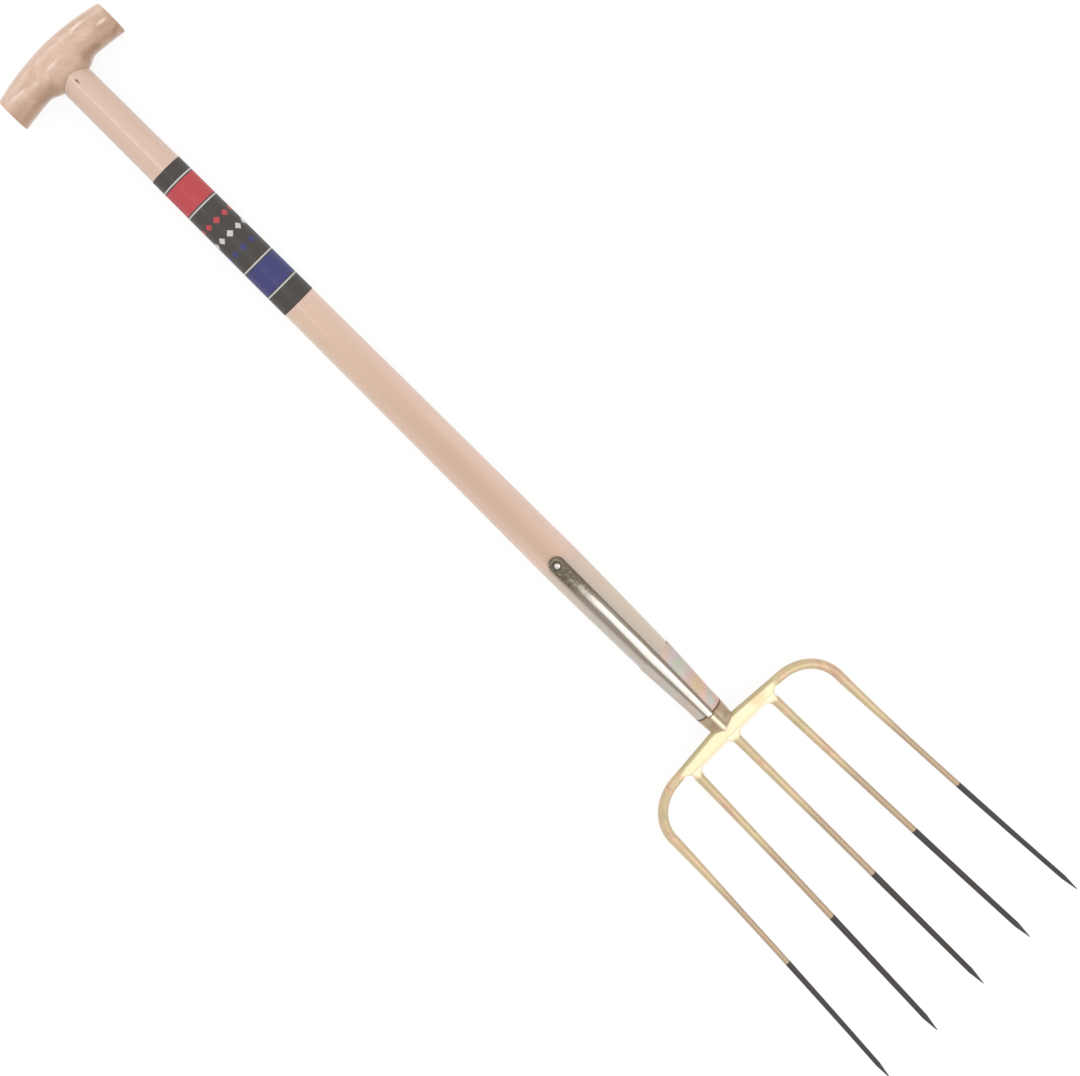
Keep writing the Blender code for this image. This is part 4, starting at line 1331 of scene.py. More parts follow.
def turned_aside(ring: Ring, turn: float) -> Ring:
    """Turn points about the shaft's axis.

    Args:
        ring: The points.
        turn: The angle.

    Returns:
        The turned points.
    """
    c = math.cos(turn)
    s = math.sin(turn)
    return [(x, y * c - z * s, y * s + z * c) for x, y, z in ring]


def spaced(start: float, end: float, count: int) -> list[float]:
    """Evenly spaced values from start to end, in count steps."""
    return [start + (end - start) * i / count for i in range(count + 1)]


def smooth(share: float) -> float:
    """Smooth step of a share from 0 to 1, held at its ends."""
    held = min(max(share, 0.0), 1.0)
    return held * held * (3.0 - 2.0 * held)


def between(value: float, places: Sequence[Place]) -> float:
    """Straight-line reading of a table.

    Args:
        value: Where to read.
        places: Pairs of a place and its value, in order.

    Returns:
        The value there.
    """
    if value <= places[0][0]:
        return places[0][1]
    for (low, first), (high, second) in zip(places, places[1:]):
        if value <= high:
            return first + (second - first) * (value - low) / (high - low)
    return places[-1][1]


# Pieces


@dataclass
class TGrip:
    """Arched crosspiece, round in section, with a swelling where the shaft enters."""

    length: float = 0.1190
    back: float = 0.0224
    arch: float = 0.0074
    end_depth: float = 0.0312
    arm_swell: float = 0.0027
    boss_depth: float = 0.0056
    boss_rise: float = 0.0050
    boss_reach: float = 0.0220
    squareness: float = 2.3
    edge: float = 0.0016
    boss_power: int = 6
    edge_steps: int = 5
    stations: int = 80
    sides: int = 72

    def section(self, y: float) -> tuple[float, float, float]:
        """Back, front and half height of the grip.

        Args:
            y: Place along the grip.

        Returns:
            The x of the back and of the front, and the half height.
        """
        along = min(abs(y) / (self.length / 2.0), 1.0)
        back = -self.back + self.arch * along**2
        arm = self.end_depth + self.arm_swell * (1.0 - along**2)
        boss = math.exp(-((abs(y) / self.boss_reach) ** self.boss_power))
        return back, back + arm + self.boss_depth * boss, (arm + self.boss_rise * boss) / 2.0

    def ring(self, y: float, inset: float, y_place: float) -> Ring:
        """Section of the grip as points.

        Args:
            y: Place along the grip whose section is taken.
            inset: How far the section is drawn in.
            y_place: Where the ring is put.

        Returns:
            The points.
        """
        back, front, half_height = self.section(y)
        centre = (back + front) / 2.0
        deep = (front - back) / 2.0 - inset
        power = 2.0 / self.squareness
        ring = []
        for i in range(self.sides):
            turn = 2.0 * math.pi * i / self.sides
            cosine = math.cos(turn)
            sine = math.sin(turn)
            x = centre + deep * math.copysign(abs(cosine) ** power, cosine)
            z = (half_height - inset) * math.copysign(abs(sine) ** power, sine)
            ring.append((x, y_place, z))
        return ring

    def form(self, swell: float) -> list[Ring]:
        """Rings of the whole grip.

        Args:
            swell: How far the form is pushed out, for a cutter.

        Returns:
            The rings from end to end.
        """
        half = self.length / 2.0
        ends = []
        for share in spaced(0.0, 1.0, self.edge_steps):
            drawn_in = self.edge * (1.0 - math.sin(share * math.pi / 2.0))
            y = -half + self.edge * (1.0 - math.cos(share * math.pi / 2.0))
            ends.append(self.ring(y, drawn_in - swell, y - swell * (1.0 - share)))
        inner = half - self.edge
        middle = [self.ring(y, -swell, y) for y in spaced(-inner, inner, self.stations)[1:-1]]
        mirrored = [[(x, -y, z) for x, y, z in ring] for ring in reversed(ends)]
        return ends + middle + mirrored

    def build(self, shop: Workshop, finish: bpy.types.Material) -> list[bpy.types.Object]:
        """Build and dress the grip.

        Args:
            shop: The workshop.
            finish: Its wood.

        Returns:
            The piece, in a list.
        """
        grip = shop.loft("wooden_t_grip", self.form(0.0))
        shop.dress(grip, finish, Slot.GRIP_WOOD, "t_grip", angle=50.0)
        return [grip]


@dataclass
class Shaft:
    """Tapered shaft, scribed to the grip, with the hole of the slanting nail."""

    grip: TGrip
    grip_diameter: float = 0.0302
    swell_diameter: float = 0.0390
    swell_at: float = 0.6120
    sleeve_diameter: float = 0.0354
    fall_power: float = 1.5
    sleeve_top: float = 0.7380
    sleeve_end: float = 0.8160
    sleeve_low_diameter: float = 0.0300
    sleeve_top_diameter: float = 0.0370
    sleeve_straight: float = 0.0100
    sleeve_wall: float = 0.0012
    gap: float = 0.0003
    scribe_gap: float = 0.0002
    under_lip: float = 0.0040
    strap_top: float = 0.6012
    strap_turns: Place = (math.radians(11.7), math.radians(8.2))
    rivet_at: float = 0.6090
    rivet_diameter: float = 0.0050
    washer_seat_diameter: float = 0.0132
    washer_seat_sink: float = 0.0028
    nail_diameter: float = 0.0020
    nail_slope: float = math.radians(21.0)
    nail_from_grip: float = 0.0032
    nail_length: float = 0.0300
    nail_sink: float = 0.0026
    nail_gap: float = 0.00005
    nail_edge: float = 0.0003
    nail_head_share: float = 0.7
    nail_point_share: float = 0.3
    nail_hole_start: float = 4.0
    nail_steps: int = 20
    upper_stations: int = 40
    lower_stations: int = 16
    hole_steps: int = 32

    def radius(self, x: float) -> float:
        """Radius of the bare wood, which swells towards the head and then falls away to the sleeve.

        Args:
            x: Place along the fork.

        Returns:
            The radius.
        """
        if x <= self.swell_at:
            share = max(x, 0.0) / self.swell_at
            return (self.grip_diameter + (self.swell_diameter - self.grip_diameter) * share) / 2.0
        share = min((x - self.swell_at) / (self.sleeve_top - self.swell_at), 1.0)
        fall = (self.swell_diameter - self.sleeve_diameter) * share**self.fall_power
        return (self.swell_diameter - fall) / 2.0

    def cone_radius(self, x: float) -> float:
        """Outer radius of the sleeve, without its rim.

        Args:
            x: Place along the fork.

        Returns:
            The radius.
        """
        cone = self.sleeve_end - self.sleeve_top - self.sleeve_straight
        share = min(max(x - self.sleeve_top, 0.0) / cone, 1.0)
        change = (self.sleeve_low_diameter - self.sleeve_top_diameter) * share
        return (self.sleeve_top_diameter + change) / 2.0

    def outline(self) -> list[Place]:
        """Outline of the shaft, with a step where the sleeve's lip sits on it.

        Returns:
            Points of (x, radius), from inside the grip to the lower end.
        """
        start = self.grip.section(0.0)[1] / 2.0
        step = self.sleeve_top + self.under_lip
        places = spaced(start, self.swell_at, self.upper_stations)
        places += spaced(self.swell_at, step, self.lower_stations)[1:]
        inside = self.gap + self.sleeve_wall
        low = self.sleeve_low_diameter / 2.0 - inside
        end = [
            (step, self.cone_radius(self.sleeve_top) - inside),
            (self.sleeve_end - self.sleeve_straight, low),
            (self.sleeve_end, low)]
        return [(x, self.radius(x)) for x in places] + end

    def nail_line(self) -> tuple[Vector, Vector]:
        """Line of the nail.

        Returns:
            Its entry point on the wood, and its direction.
        """
        front = self.grip.section(0.0)[1]
        entry = Vector((front + self.nail_from_grip, 0.0, self.radius(front)))
        return entry, Vector((-math.cos(self.nail_slope), 0.0, -math.sin(self.nail_slope)))

    def strap_turn(self, x: float) -> float:
        """Angle from the front line round to the strap."""
        return between(x, [(self.strap_top, self.strap_turns[0]), (self.sleeve_end, self.strap_turns[1])])

    def rivet_ring(self, height: float, radius: float, steps: int) -> Ring:
        """Ring of points round the rivet's axis, which leans with the strap.

        Args:
            height: Distance from the shaft's axis.
            radius: Radius of the ring.
            steps: Number of points.

        Returns:
            The points.
        """
        turns = spaced(0.0, 2.0 * math.pi, steps)[:-1]
        flat = [(self.rivet_at + radius * math.cos(t), radius * math.sin(t), height) for t in turns]
        return turned_aside(flat, self.strap_turn(self.rivet_at))

    def rivet_cutter(self, shop: Workshop, low: float, high: float, radius: float) -> bpy.types.Object:
        """Cylinder along the rivet's axis between two distances from the shaft's axis, as a cutter."""
        rings = [self.rivet_ring(height, radius, self.hole_steps) for height in (low, high)]
        return shop.loft("cutter", rings)

    def build(self, shop: Workshop, finish: bpy.types.Material,
              iron: bpy.types.Material) -> list[bpy.types.Object]:
        """Build and dress the shaft and its nail.

        Args:
            shop: The workshop.
            finish: The shaft's wood.
            iron: The nail's rusty iron.

        Returns:
            The shaft and the nail.
        """
        shaft = shop.lathe("wooden_shaft", self.outline())
        shop.cut(shaft, shop.loft("cutter", self.grip.form(self.scribe_gap)))
        deep = self.swell_diameter
        shop.cut(shaft, self.rivet_cutter(shop, -deep, deep, self.rivet_diameter / 2.0 + self.gap))
        seat = -(self.radius(self.rivet_at) - self.washer_seat_sink)
        shop.cut(shaft, self.rivet_cutter(shop, -deep, seat, self.washer_seat_diameter / 2.0))

        entry, way = self.nail_line()
        radius = self.nail_diameter / 2.0
        outside = entry - way * self.nail_hole_start * self.nail_diameter
        head = entry + way * self.nail_sink
        near_tip = entry + way * (self.nail_length - self.nail_diameter)
        tip = entry + way * self.nail_length
        wide = radius + self.nail_gap
        shop.cut(shaft, shop.sweep("cutter", [outside, tip], [wide, wide], self.nail_steps))
        radii = [radius * self.nail_head_share, radius, radius, radius * self.nail_point_share]
        places = [head, head + way * self.nail_edge, near_tip, tip]
        nail = shop.sweep("locking_nail", places, radii, self.nail_steps)
        shop.dress(shaft, finish, Slot.SHAFT_WOOD, "shaft")
        shop.dress(nail, iron, Slot.STEEL, "grip_nail")
        return [shaft, nail]


@dataclass
class LabelBand:
    """Film wrapped once round the shaft, its end lapped at the back.

    The end rises over two laps, to the thickness times the lap's lift.
    """

    shaft: Shaft
    start: float = 0.1200
    length: float = 0.1590
    stand_off: float = 0.00005
    thickness: float = 0.00012
    lap: float = math.radians(16.0)
    lap_lift: float = 1.2
    steps: int = 120
    rows: int = 30

    def build(self, shop: Workshop, finish: bpy.types.Material) -> list[bpy.types.Object]:
        """Build and dress the film.

        Args:
            shop: The workshop.
            finish: The printed film.

        Returns:
            The piece, in a list.
        """
        shape = bmesh.new()
        rows = []
        whole = 2.0 * math.pi + self.lap
        lap_share = self.lap / whole
        for i in range(self.steps + 1):
            share = i / self.steps
            angle = -math.pi / 2.0 - self.lap / 2.0 + whole * share
            risen = smooth((share - 1.0 + 3.0 * lap_share) / (2.0 * lap_share))
            lift = self.thickness * self.lap_lift * risen
            row = []
            for x in spaced(self.start, self.start + self.length, self.rows):
                radius = self.shaft.radius(x) + self.stand_off + lift
                row.append(shape.verts.new((x, radius * math.cos(angle), radius * math.sin(angle))))
            rows.append(row)
        for low, high in zip(rows, rows[1:]):
            for j in range(self.rows):
                shape.faces.new((low[j], low[j + 1], high[j + 1], high[j]))
        label = shop.add("printed_label", shape)
        wall = label.modifiers.new("thickness", "SOLIDIFY")
        wall.thickness = self.thickness
        wall.offset = 1.0
        shop.settle(label)
        shop.dress(label, finish, Slot.LABEL, "label_band")
        return [label]


@dataclass
class SocketSleeve:
    """Conical sleeve over the lower end of the shaft, its upper edge pressed down onto the wood."""

    shaft: Shaft
    rim_width: float = 0.0034
    rim_proud: float = 0.0004
    low_edge: float = 0.0003
    lip: float = 0.0045
    lip_room: float = 0.00003
    stations: int = 12

    def build(self, shop: Workshop, finish: bpy.types.Material) -> list[bpy.types.Object]:
        """Build and dress the sleeve.

        Args:
            shop: The workshop.
            finish: The plating.

        Returns:
            The piece, in a list.
        """
        top = self.shaft.sleeve_top
        end = self.shaft.sleeve_end
        wall = self.shaft.sleeve_wall
        cone_end = end - self.shaft.sleeve_straight
        wood = self.shaft.radius(top) + self.lip_room
        lip_end = top + self.lip
        full = self.shaft.cone_radius(lip_end)
        low = self.shaft.cone_radius(end)
        shares = spaced(0.0, 1.0, self.stations)
        outside = [(top + self.lip * share, wood + (full - wood) * smooth(share)) for share in shares]
        outside += [(x, self.shaft.cone_radius(x)) for x in spaced(lip_end, cone_end, self.stations)[1:]]
        outside += [(end - self.low_edge, low), (end, low - self.low_edge)]
        cone_low = self.shaft.cone_radius(cone_end)
        inside = [(end, low - wall), (cone_end, cone_low - wall), (lip_end, full - wall), (lip_end, wood)]
        sleeve = shop.lathe("zinc_sleeve", outside + inside, closed=True)
        shop.dress(sleeve, finish, Slot.ZINC, "socket_sleeve")
        return [sleeve]


@dataclass
class FrontStrap:
    """Half-round strap on the front, flattened under its rivet."""

    shaft: Shaft
    sleeve: SocketSleeve
    top_width: float = 0.0158
    sleeve_width: float = 0.0128
    low_width: float = 0.0080
    thickness: float = 0.0036
    edge: float = 0.0010
    joggle: float = 0.0120
    rivet_sink: float = 0.0008
    flat_reach: float = 0.0190
    rise_reach: float = 0.0420
    flat_fullness: float = 0.45
    sides: int = 28
    stations: int = 110
    end_start: float = 0.12
    end_steps: int = 14

    @property
    def top(self) -> float:
        """Upper end of the strap."""
        return self.shaft.strap_top

    def line(self) -> StrapLine:
        """Where the strap runs, for the finishes.

        Returns:
            The line.
        """
        shaft = self.shaft
        halves = (self.top_width / 2.0, self.sleeve_width / 2.0, self.low_width / 2.0)
        return StrapLine(self.top, shaft.sleeve_top, shaft.sleeve_end, shaft.strap_turns, halves)

    def width(self, x: float) -> float:
        """Width of the strap with its round top end.

        Args:
            x: Place along the fork.

        Returns:
            The width.
        """
        end_radius = self.top_width / 2.0
        places = (self.top, self.shaft.sleeve_top, self.shaft.sleeve_end)
        widths = (self.top_width, self.sleeve_width, self.low_width)
        width = between(x, list(zip(places, widths)))
        from_end = x - self.top
        if from_end < end_radius:
            width *= math.sqrt(max(1.0 - (1.0 - from_end / end_radius) ** 2, 0.0))
        return width

    def seat(self, x: float) -> float:
        """Radius that the strap lies on: the wood, then the sleeve, with a joggle before its rim.

        Args:
            x: Place along the fork.

        Returns:
            The radius.
        """
        gap = self.shaft.gap
        rim_end = self.shaft.sleeve_top + 2.0 * self.sleeve.rim_width
        if x >= self.shaft.sleeve_top:
            proud = self.sleeve.rim_proud * (1.0 - smooth((x - rim_end) / self.sleeve.rim_width + 1.0))
            return self.shaft.cone_radius(x) + proud + gap
        wood = self.shaft.radius(x) + gap
        rim = self.shaft.cone_radius(self.shaft.sleeve_top) + self.sleeve.rim_proud + gap
        run = self.joggle - self.sleeve.rim_width / 2.0
        share = smooth((x - self.shaft.sleeve_top + self.joggle) / run)
        return wood + (max(rim, wood) - wood) * share

    def rise(self, x: float) -> float:
        """Share to which the strap has risen from its flat end to its full crown."""
        return smooth((x - self.top - self.flat_reach) / (self.rise_reach - self.flat_reach))

    def crown(self, x: float) -> float:
        """Height of the crest above the seat: flat under the rivet, full further down."""
        full = self.thickness - self.rivet_sink * (1.0 - self.rise(x))
        return self.edge + (full - self.edge) * min(self.width(x) / self.low_width, 1.0)

    def ring(self, x: float) -> Ring:
        """Section of the strap, curved below to lie on what carries it.

        Args:
            x: Place along the fork.

        Returns:
            The points.
        """
        width = self.width(x)
        seat = self.seat(x)
        crown = self.crown(x)
        flat = 1.0 - self.rise(x)
        upper = []
        lower = []
        for i in range(self.sides + 1):
            turn = math.pi * i / self.sides
            y = -width / 2.0 * math.cos(turn)
            z = math.sqrt(seat**2 - y**2)
            arch = math.sin(turn) ** (1.0 - self.flat_fullness * flat)
            upper.append((x, y, z + self.edge + (crown - self.edge) * arch))
            lower.append((x, y, z))
        return turned_aside(upper + lower[::-1], self.shaft.strap_turn(x))

    def build(self, shop: Workshop, finish: bpy.types.Material) -> list[bpy.types.Object]:
        """Build and dress the strap.

        Args:
            shop: The workshop.
            finish: The plating.

        Returns:
            The piece, in a list.
        """
        end_radius = self.top_width / 2.0
        turns = spaced(self.end_start, math.pi / 2.0, self.end_steps)
        round_end = [self.top + end_radius * (1.0 - math.cos(turn)) for turn in turns]
        straight = spaced(self.top + end_radius, self.shaft.sleeve_end, self.stations)[1:]
        strap = shop.loft("front_strap_plate", [self.ring(x) for x in round_end + straight])
        wide = self.shaft.rivet_diameter / 2.0 + self.shaft.gap
        shop.cut(strap, self.shaft.rivet_cutter(shop, 0.0, self.shaft.swell_diameter, wide))
        shop.dress(strap, finish, Slot.ZINC, "front_strap")
        return [strap]


@dataclass
class StrapRivet:
    """Domed rivet through the strap and the shaft, closed over a washer at the back."""

    shaft: Shaft
    strap: FrontStrap
    head_diameter: float = 0.0086
    head_height: float = 0.0024
    tail_height: float = 0.0015
    washer_diameter: float = 0.0120
    washer_thickness: float = 0.0012
    washer_edge: float = 0.0002
    dome_start: float = 0.06
    dome_steps: int = 10
    steps: int = 48

    def head_place(self) -> Place:
        """Where the middle of the head lies along and across the fork."""
        at = self.shaft.rivet_at
        return at, -(self.shaft.radius(at) + self.strap.thickness) * math.sin(self.shaft.strap_turn(at))

    def turned(self, shop: Workshop, name: str, outline: Sequence[Place], closed: bool) -> bpy.types.Object:
        """Turn an outline of (height, radius) about the rivet's axis."""
        return shop.loft(name, [self.shaft.rivet_ring(z, r, self.steps) for z, r in outline], closed)

    def build(self, shop: Workshop, finish: bpy.types.Material) -> list[bpy.types.Object]:
        """Build and dress the rivet and its washer.

        Args:
            shop: The workshop.
            finish: Bright steel.

        Returns:
            The rivet and the washer.
        """
        at = self.shaft.rivet_at
        gap = self.shaft.gap
        wood = self.shaft.radius(at) - self.shaft.washer_seat_sink
        under_head = self.strap.seat(at) + self.strap.thickness - self.strap.rivet_sink + gap
        over_tail = -wood - gap - self.washer_thickness - gap
        shank = self.shaft.rivet_diameter / 2.0
        head = self.head_diameter / 2.0
        turns = spaced(self.dome_start, math.pi / 2.0, self.dome_steps)
        dome = [(under_head + self.head_height * math.cos(t), head * math.sin(t)) for t in turns]
        tail = [(over_tail - self.tail_height * math.cos(t), head * math.sin(t)) for t in reversed(turns)]
        body = [(under_head, shank), (over_tail, shank)]
        rivet = self.turned(shop, "domed_rivet", dome + body + tail, False)
        shop.dress(rivet, finish, Slot.STEEL, "strap_rivet")

        high = -wood - gap
        low = high - self.washer_thickness
        inner = shank + gap
        outer = self.washer_diameter / 2.0
        outline = [(high, inner), (high, outer - self.washer_edge), (high - self.washer_edge, outer),
                   (low + self.washer_edge, outer), (low, outer - self.washer_edge), (low, inner)]
        washer = self.turned(shop, "back_washer", outline, True)
        shop.dress(washer, finish, Slot.STEEL, "rivet_washer")
        return [rivet, washer]


@dataclass
class ForkHead:
    """One forging: neck cup, cross bar and five round tines."""

    shaft: Shaft
    strap: FrontStrap
    neck_length: float = 0.0185
    neck_low_diameter: float = 0.0276
    neck_point_length: float = 0.0087
    neck_point_diameter: float = 0.0010
    neck_point_power: float = 1.5
    neck_point_drop: float = 0.0034
    neck_point_aside: float = 0.0019
    neck_steps: int = 64
    nose_setback: float = 0.0002
    nose_level: float = 0.0030
    nose_proud: float = 0.0024
    nose_end_diameter: float = 0.0024
    bar_width: float = 0.0210
    bar_thickness: float = 0.0072
    bar_drop: float = 0.0060
    bar_ahead: float = 0.0110
    bar_sweep: float = math.radians(5.2)
    bar_past_tine: float = 0.0175
    bar_end_width: float = 0.0064
    bar_end_taper: float = 0.0045
    bar_bevel: float = 0.0023
    root_fillet: float = 0.0070
    corner_fillet: float = 0.0055
    web_width: float = 0.0092
    web_point: float = 0.0100
    reach: float = 0.3528
    bend_radius: float = 0.5300
    root_pitch: float = math.radians(12.0)
    waist_from_bar: float = 0.1407
    dip_length: float = 0.1400
    point_length: float = 0.0150
    point_diameter: float = 0.0007
    flat_diameter: float = 0.0062
    flat_run: float = 0.0080
    round_from_bar: float = 0.0060
    round_past_tine: float = 0.0148
    inner_diameters: tuple[float, ...] = (0.0096, 0.0069, 0.0066, 0.0054)
    outer_diameters: tuple[float, ...] = (0.0100, 0.0062, 0.0059, 0.0048)
    inner_root: float = 0.0514
    inner_tip: float = 0.0637
    outer_root: float = 0.1122
    outer_tip: float = 0.1288
    shoulder_radius: float = 0.0445
    flare_power: float = 1.1
    shoulder_points: int = 24
    tine_points: int = 60
    root_run: float = 0.0400
    root_points: int = 24
    forging_voxel: float = 0.0006
    stub_reach: float = 0.0300
    stub_aside: float = 0.0860
    stub_proud: float = 0.0001
    tine_hidden: float = 0.0005
    shoulder_start_steps: int = 16
    point_steps: int = 8
    arc_steps: int = 10
    cup_steps: int = 16
    nose_steps: int = 14
    soften_factor: float = 0.5
    soften_times: int = 5

    @property
    def neck_face(self) -> float:
        """Where the neck meets the sleeve."""
        return self.shaft.sleeve_end + self.shaft.gap

    @property
    def neck_end(self) -> float:
        """Lower end of the neck cup."""
        return self.neck_face + self.neck_length

    @property
    def bar_centre(self) -> float:
        """Middle line of the cross bar at the shaft's axis."""
        return self.neck_end + self.bar_ahead

    @property
    def tip(self) -> float:
        """Tips of the tines."""
        return self.bar_centre + self.reach

    @property
    def dip(self) -> float:
        """Where the black dip starts."""
        return self.tip - self.dip_length

    @property
    def face_height(self) -> float:
        """Height of the cross bar's face at its middle line."""
        return -self.bar_drop + self.bar_thickness / 2.0 / math.cos(self.root_pitch)

    def height(self, x: float) -> float:
        """Height of the tines' centre lines: one arc, down from the cross bar and up to the tips.

        Args:
            x: Place along the fork.

        Returns:
            The height from the shaft's axis.
        """
        belly_x = self.bar_centre + self.bend_radius * math.sin(self.root_pitch)
        belly_z = -self.bar_drop - self.bend_radius * (1.0 - math.cos(self.root_pitch))
        return belly_z + self.bend_radius - math.sqrt(self.bend_radius**2 - (x - belly_x) ** 2)

    def radius(self, x: float, start: float, diameters: Sequence[float]) -> float:
        """Radius of a tine: three tapers and a ground point.

        Args:
            x: Place along the fork.
            start: Where the first taper starts.
            diameters: Diameters at the start, the waist, the dip and the point.

        Returns:
            The radius.
        """
        point = self.tip - self.point_length
        places = zip((start, self.bar_centre + self.waist_from_bar, self.dip, point, self.tip),
                     (*diameters, self.point_diameter))
        return between(x, list(places)) / 2.0

    def flared(self, start: float, root: float, tip: float) -> list[Place]:
        """Tine in plan, from its start to its tip.

        Args:
            start: The x that it starts at.
            root: Its y there.
            tip: Its y at the tip.

        Returns:
            Points of (x, y).
        """
        point = self.tip - self.point_length
        root_end = start + self.root_run
        run = spaced(start, root_end, self.root_points) + spaced(root_end, point, self.tine_points)[1:]
        run += spaced(point, self.tip, self.point_steps)[1:]
        power = self.flare_power
        return [(x, root + (tip - root) * ((x - start) / (self.tip - start)) ** power) for x in run]

    @property
    def round_y(self) -> float:
        """Where an outer tine has grown to its full size, across the fork."""
        return self.inner_root + self.round_past_tine

    def shoulder(self) -> list[Place]:
        """Outer tine in plan, from inside the cross bar round its bend.

        Returns:
            Points of (x, y).
        """
        heading = math.pi / 2.0 - self.bar_sweep
        rear = self.bar_centre - self.bar_width / 2.0 + self.outer_diameters[0] / 2.0
        bend_y = self.outer_root - self.shoulder_radius * (1.0 - math.cos(heading))
        bend_x = rear + bend_y * math.tan(self.bar_sweep)
        start_y = self.inner_root - self.inner_diameters[0]
        straight = spaced(start_y, bend_y, self.shoulder_start_steps)[:-1]
        points = [(rear + y * math.tan(self.bar_sweep), y) for y in straight]
        for turn in spaced(heading, 0.0, self.shoulder_points):
            x = bend_x + self.shoulder_radius * (math.sin(heading) - math.sin(turn))
            y = bend_y + self.shoulder_radius * (math.cos(turn) - math.cos(heading))
            points.append((x, y))
        return points

    def plans(self) -> dict[str, tuple[list[Place], list[float]]]:
        """Lay out each tine: thin within the bar, and round where it leaves it.

        Returns:
            The plan, as points of (x, y), and the radii there, by the tine's name.
        """
        shoulder = self.shoulder()
        bend_end = shoulder[-1][0]
        outer = shoulder[:-1] + self.flared(bend_end, self.outer_root, self.outer_tip)
        inner = self.flared(self.bar_centre, self.inner_root, self.inner_tip)
        middle = self.flared(self.bar_centre, 0.0, 0.0)
        round_x = self.bar_centre + self.bar_width / 2.0 + self.round_from_bar
        inner_radii = []
        for x, _ in inner:
            full = self.radius(x, self.bar_centre, self.inner_diameters)
            inner_radii.append(min(full, self.flat_limit(x - round_x)))
        outer_radii = []
        for x, y in outer:
            full = self.radius(x, bend_end, self.outer_diameters)
            outer_radii.append(min(full, self.flat_limit(y - self.round_y)))
        plans = {"tine_middle": (middle, inner_radii)}
        for side, word in ((1.0, "left"), (-1.0, "right")):
            plans["tine_inner_" + word] = ([(x, side * y) for x, y in inner], inner_radii)
            plans["tine_outer_" + word] = ([(x, side * y) for x, y in outer], outer_radii)
        return plans

    def flat_limit(self, past_root: float) -> float:
        """Largest radius near a root: thin within the bar, and full where past_root is 0."""
        places = [(-self.flat_run, self.flat_diameter), (0.0, self.outer_diameters[0])]
        return between(past_root, places) / 2.0

    def arc(self, centre: Place, start: float, end: float, radius: float) -> list[Place]:
        """Points of an arc, with its angles in degrees."""
        turns = [math.radians(t) for t in spaced(start, end, self.arc_steps)]
        return [(centre[0] + radius * math.cos(t), centre[1] + radius * math.sin(t)) for t in turns]

    def bar_outline(self, inset: float) -> list[Place]:
        """Outline of the cross bar with its webs at the tines.

        Args:
            inset: How far the outline is drawn in.

        Returns:
            Points of (x, y), with x from the bar's middle line.
        """
        slope = math.tan(self.bar_sweep)
        front = self.bar_width / 2.0
        web = self.web_width / 2.0
        fillet = self.root_fillet
        arc_x = front + fillet
        tip_x = arc_x + self.web_point * (web - inset) / web
        half = [(tip_x, 0.0)]
        half += self.arc((arc_x, web + fillet), -90.0, -180.0, fillet + inset)
        half += self.arc((arc_x, self.inner_root - web - fillet), 180.0, 90.0, fillet + inset)
        half.append((tip_x, self.inner_root))
        root = self.outer_diameters[0] / 2.0
        corner = self.corner_fillet
        corner_y = self.inner_root + web + corner
        middle = slope * corner_y - front + root
        half += self.arc((middle + root + corner, corner_y), -90.0, -180.0, corner + inset)
        end_y = self.inner_root + self.bar_past_tine
        full_y = end_y - self.bar_end_taper
        full_middle = slope * full_y - front + root
        end_middle = slope * end_y - front + root
        end_half = self.bar_end_width / 2.0 - inset
        half += [
            (full_middle + root - inset, full_y),
            (end_middle + end_half, end_y - inset),
            (end_middle - end_half, end_y - inset),
            (full_middle - root + inset, full_y),
            (inset - front, 0.0)]
        return half + [(x, -y) for x, y in reversed(half[1:-1])]

    def bar(self, shop: Workshop) -> bpy.types.Object:
        """Cross bar as a plate with bevelled edges, pitched like the tines' roots.

        Args:
            shop: The workshop.

        Returns:
            The plate, to be joined with the neck and the tines' roots.
        """
        pitch = Matrix.Rotation(self.root_pitch, 4, "Y")
        place = Matrix.Translation((self.bar_centre, 0.0, -self.bar_drop)) @ pitch
        high = self.bar_thickness / 2.0
        bevel = self.bar_bevel
        levels = ((-high, bevel), (bevel - high, 0.0), (high - bevel, 0.0), (high, bevel))
        rings = []
        for z, inset in levels:
            rings.append([tuple(place @ Vector((x, y, z))) for x, y in self.bar_outline(inset)])
        return shop.loft("forging_plate", rings)

    def neck_middle(self, share: float) -> Vector:
        """Middle of the neck's point at a share of its length: it sinks, and leans to one side."""
        x = self.neck_end + self.neck_point_length * share
        return Vector((x, -self.neck_point_aside * share, -self.neck_point_drop * share**2))

    def neck_radius(self, share: float) -> float:
        """Radius of the neck's point at a share of its length."""
        low = self.neck_low_diameter / 2.0
        return low + (self.neck_point_diameter / 2.0 - low) * share**self.neck_point_power

    def neck(self, shop: Workshop) -> list[bpy.types.Object]:
        """Neck cup with its point, and the ridge that carries the strap's line on.

        Args:
            shop: The workshop.

        Returns:
            The two forms, to be joined with the bar.
        """
        face = self.shaft.sleeve_low_diameter / 2.0
        rings = [circle((self.neck_face, 0.0, 0.0), FORWARD, face, self.neck_steps)]
        for share in spaced(0.0, 1.0, self.cup_steps):
            rings.append(circle(self.neck_middle(share), FORWARD, self.neck_radius(share), self.neck_steps))
        cup = shop.loft("forging_neck", rings)

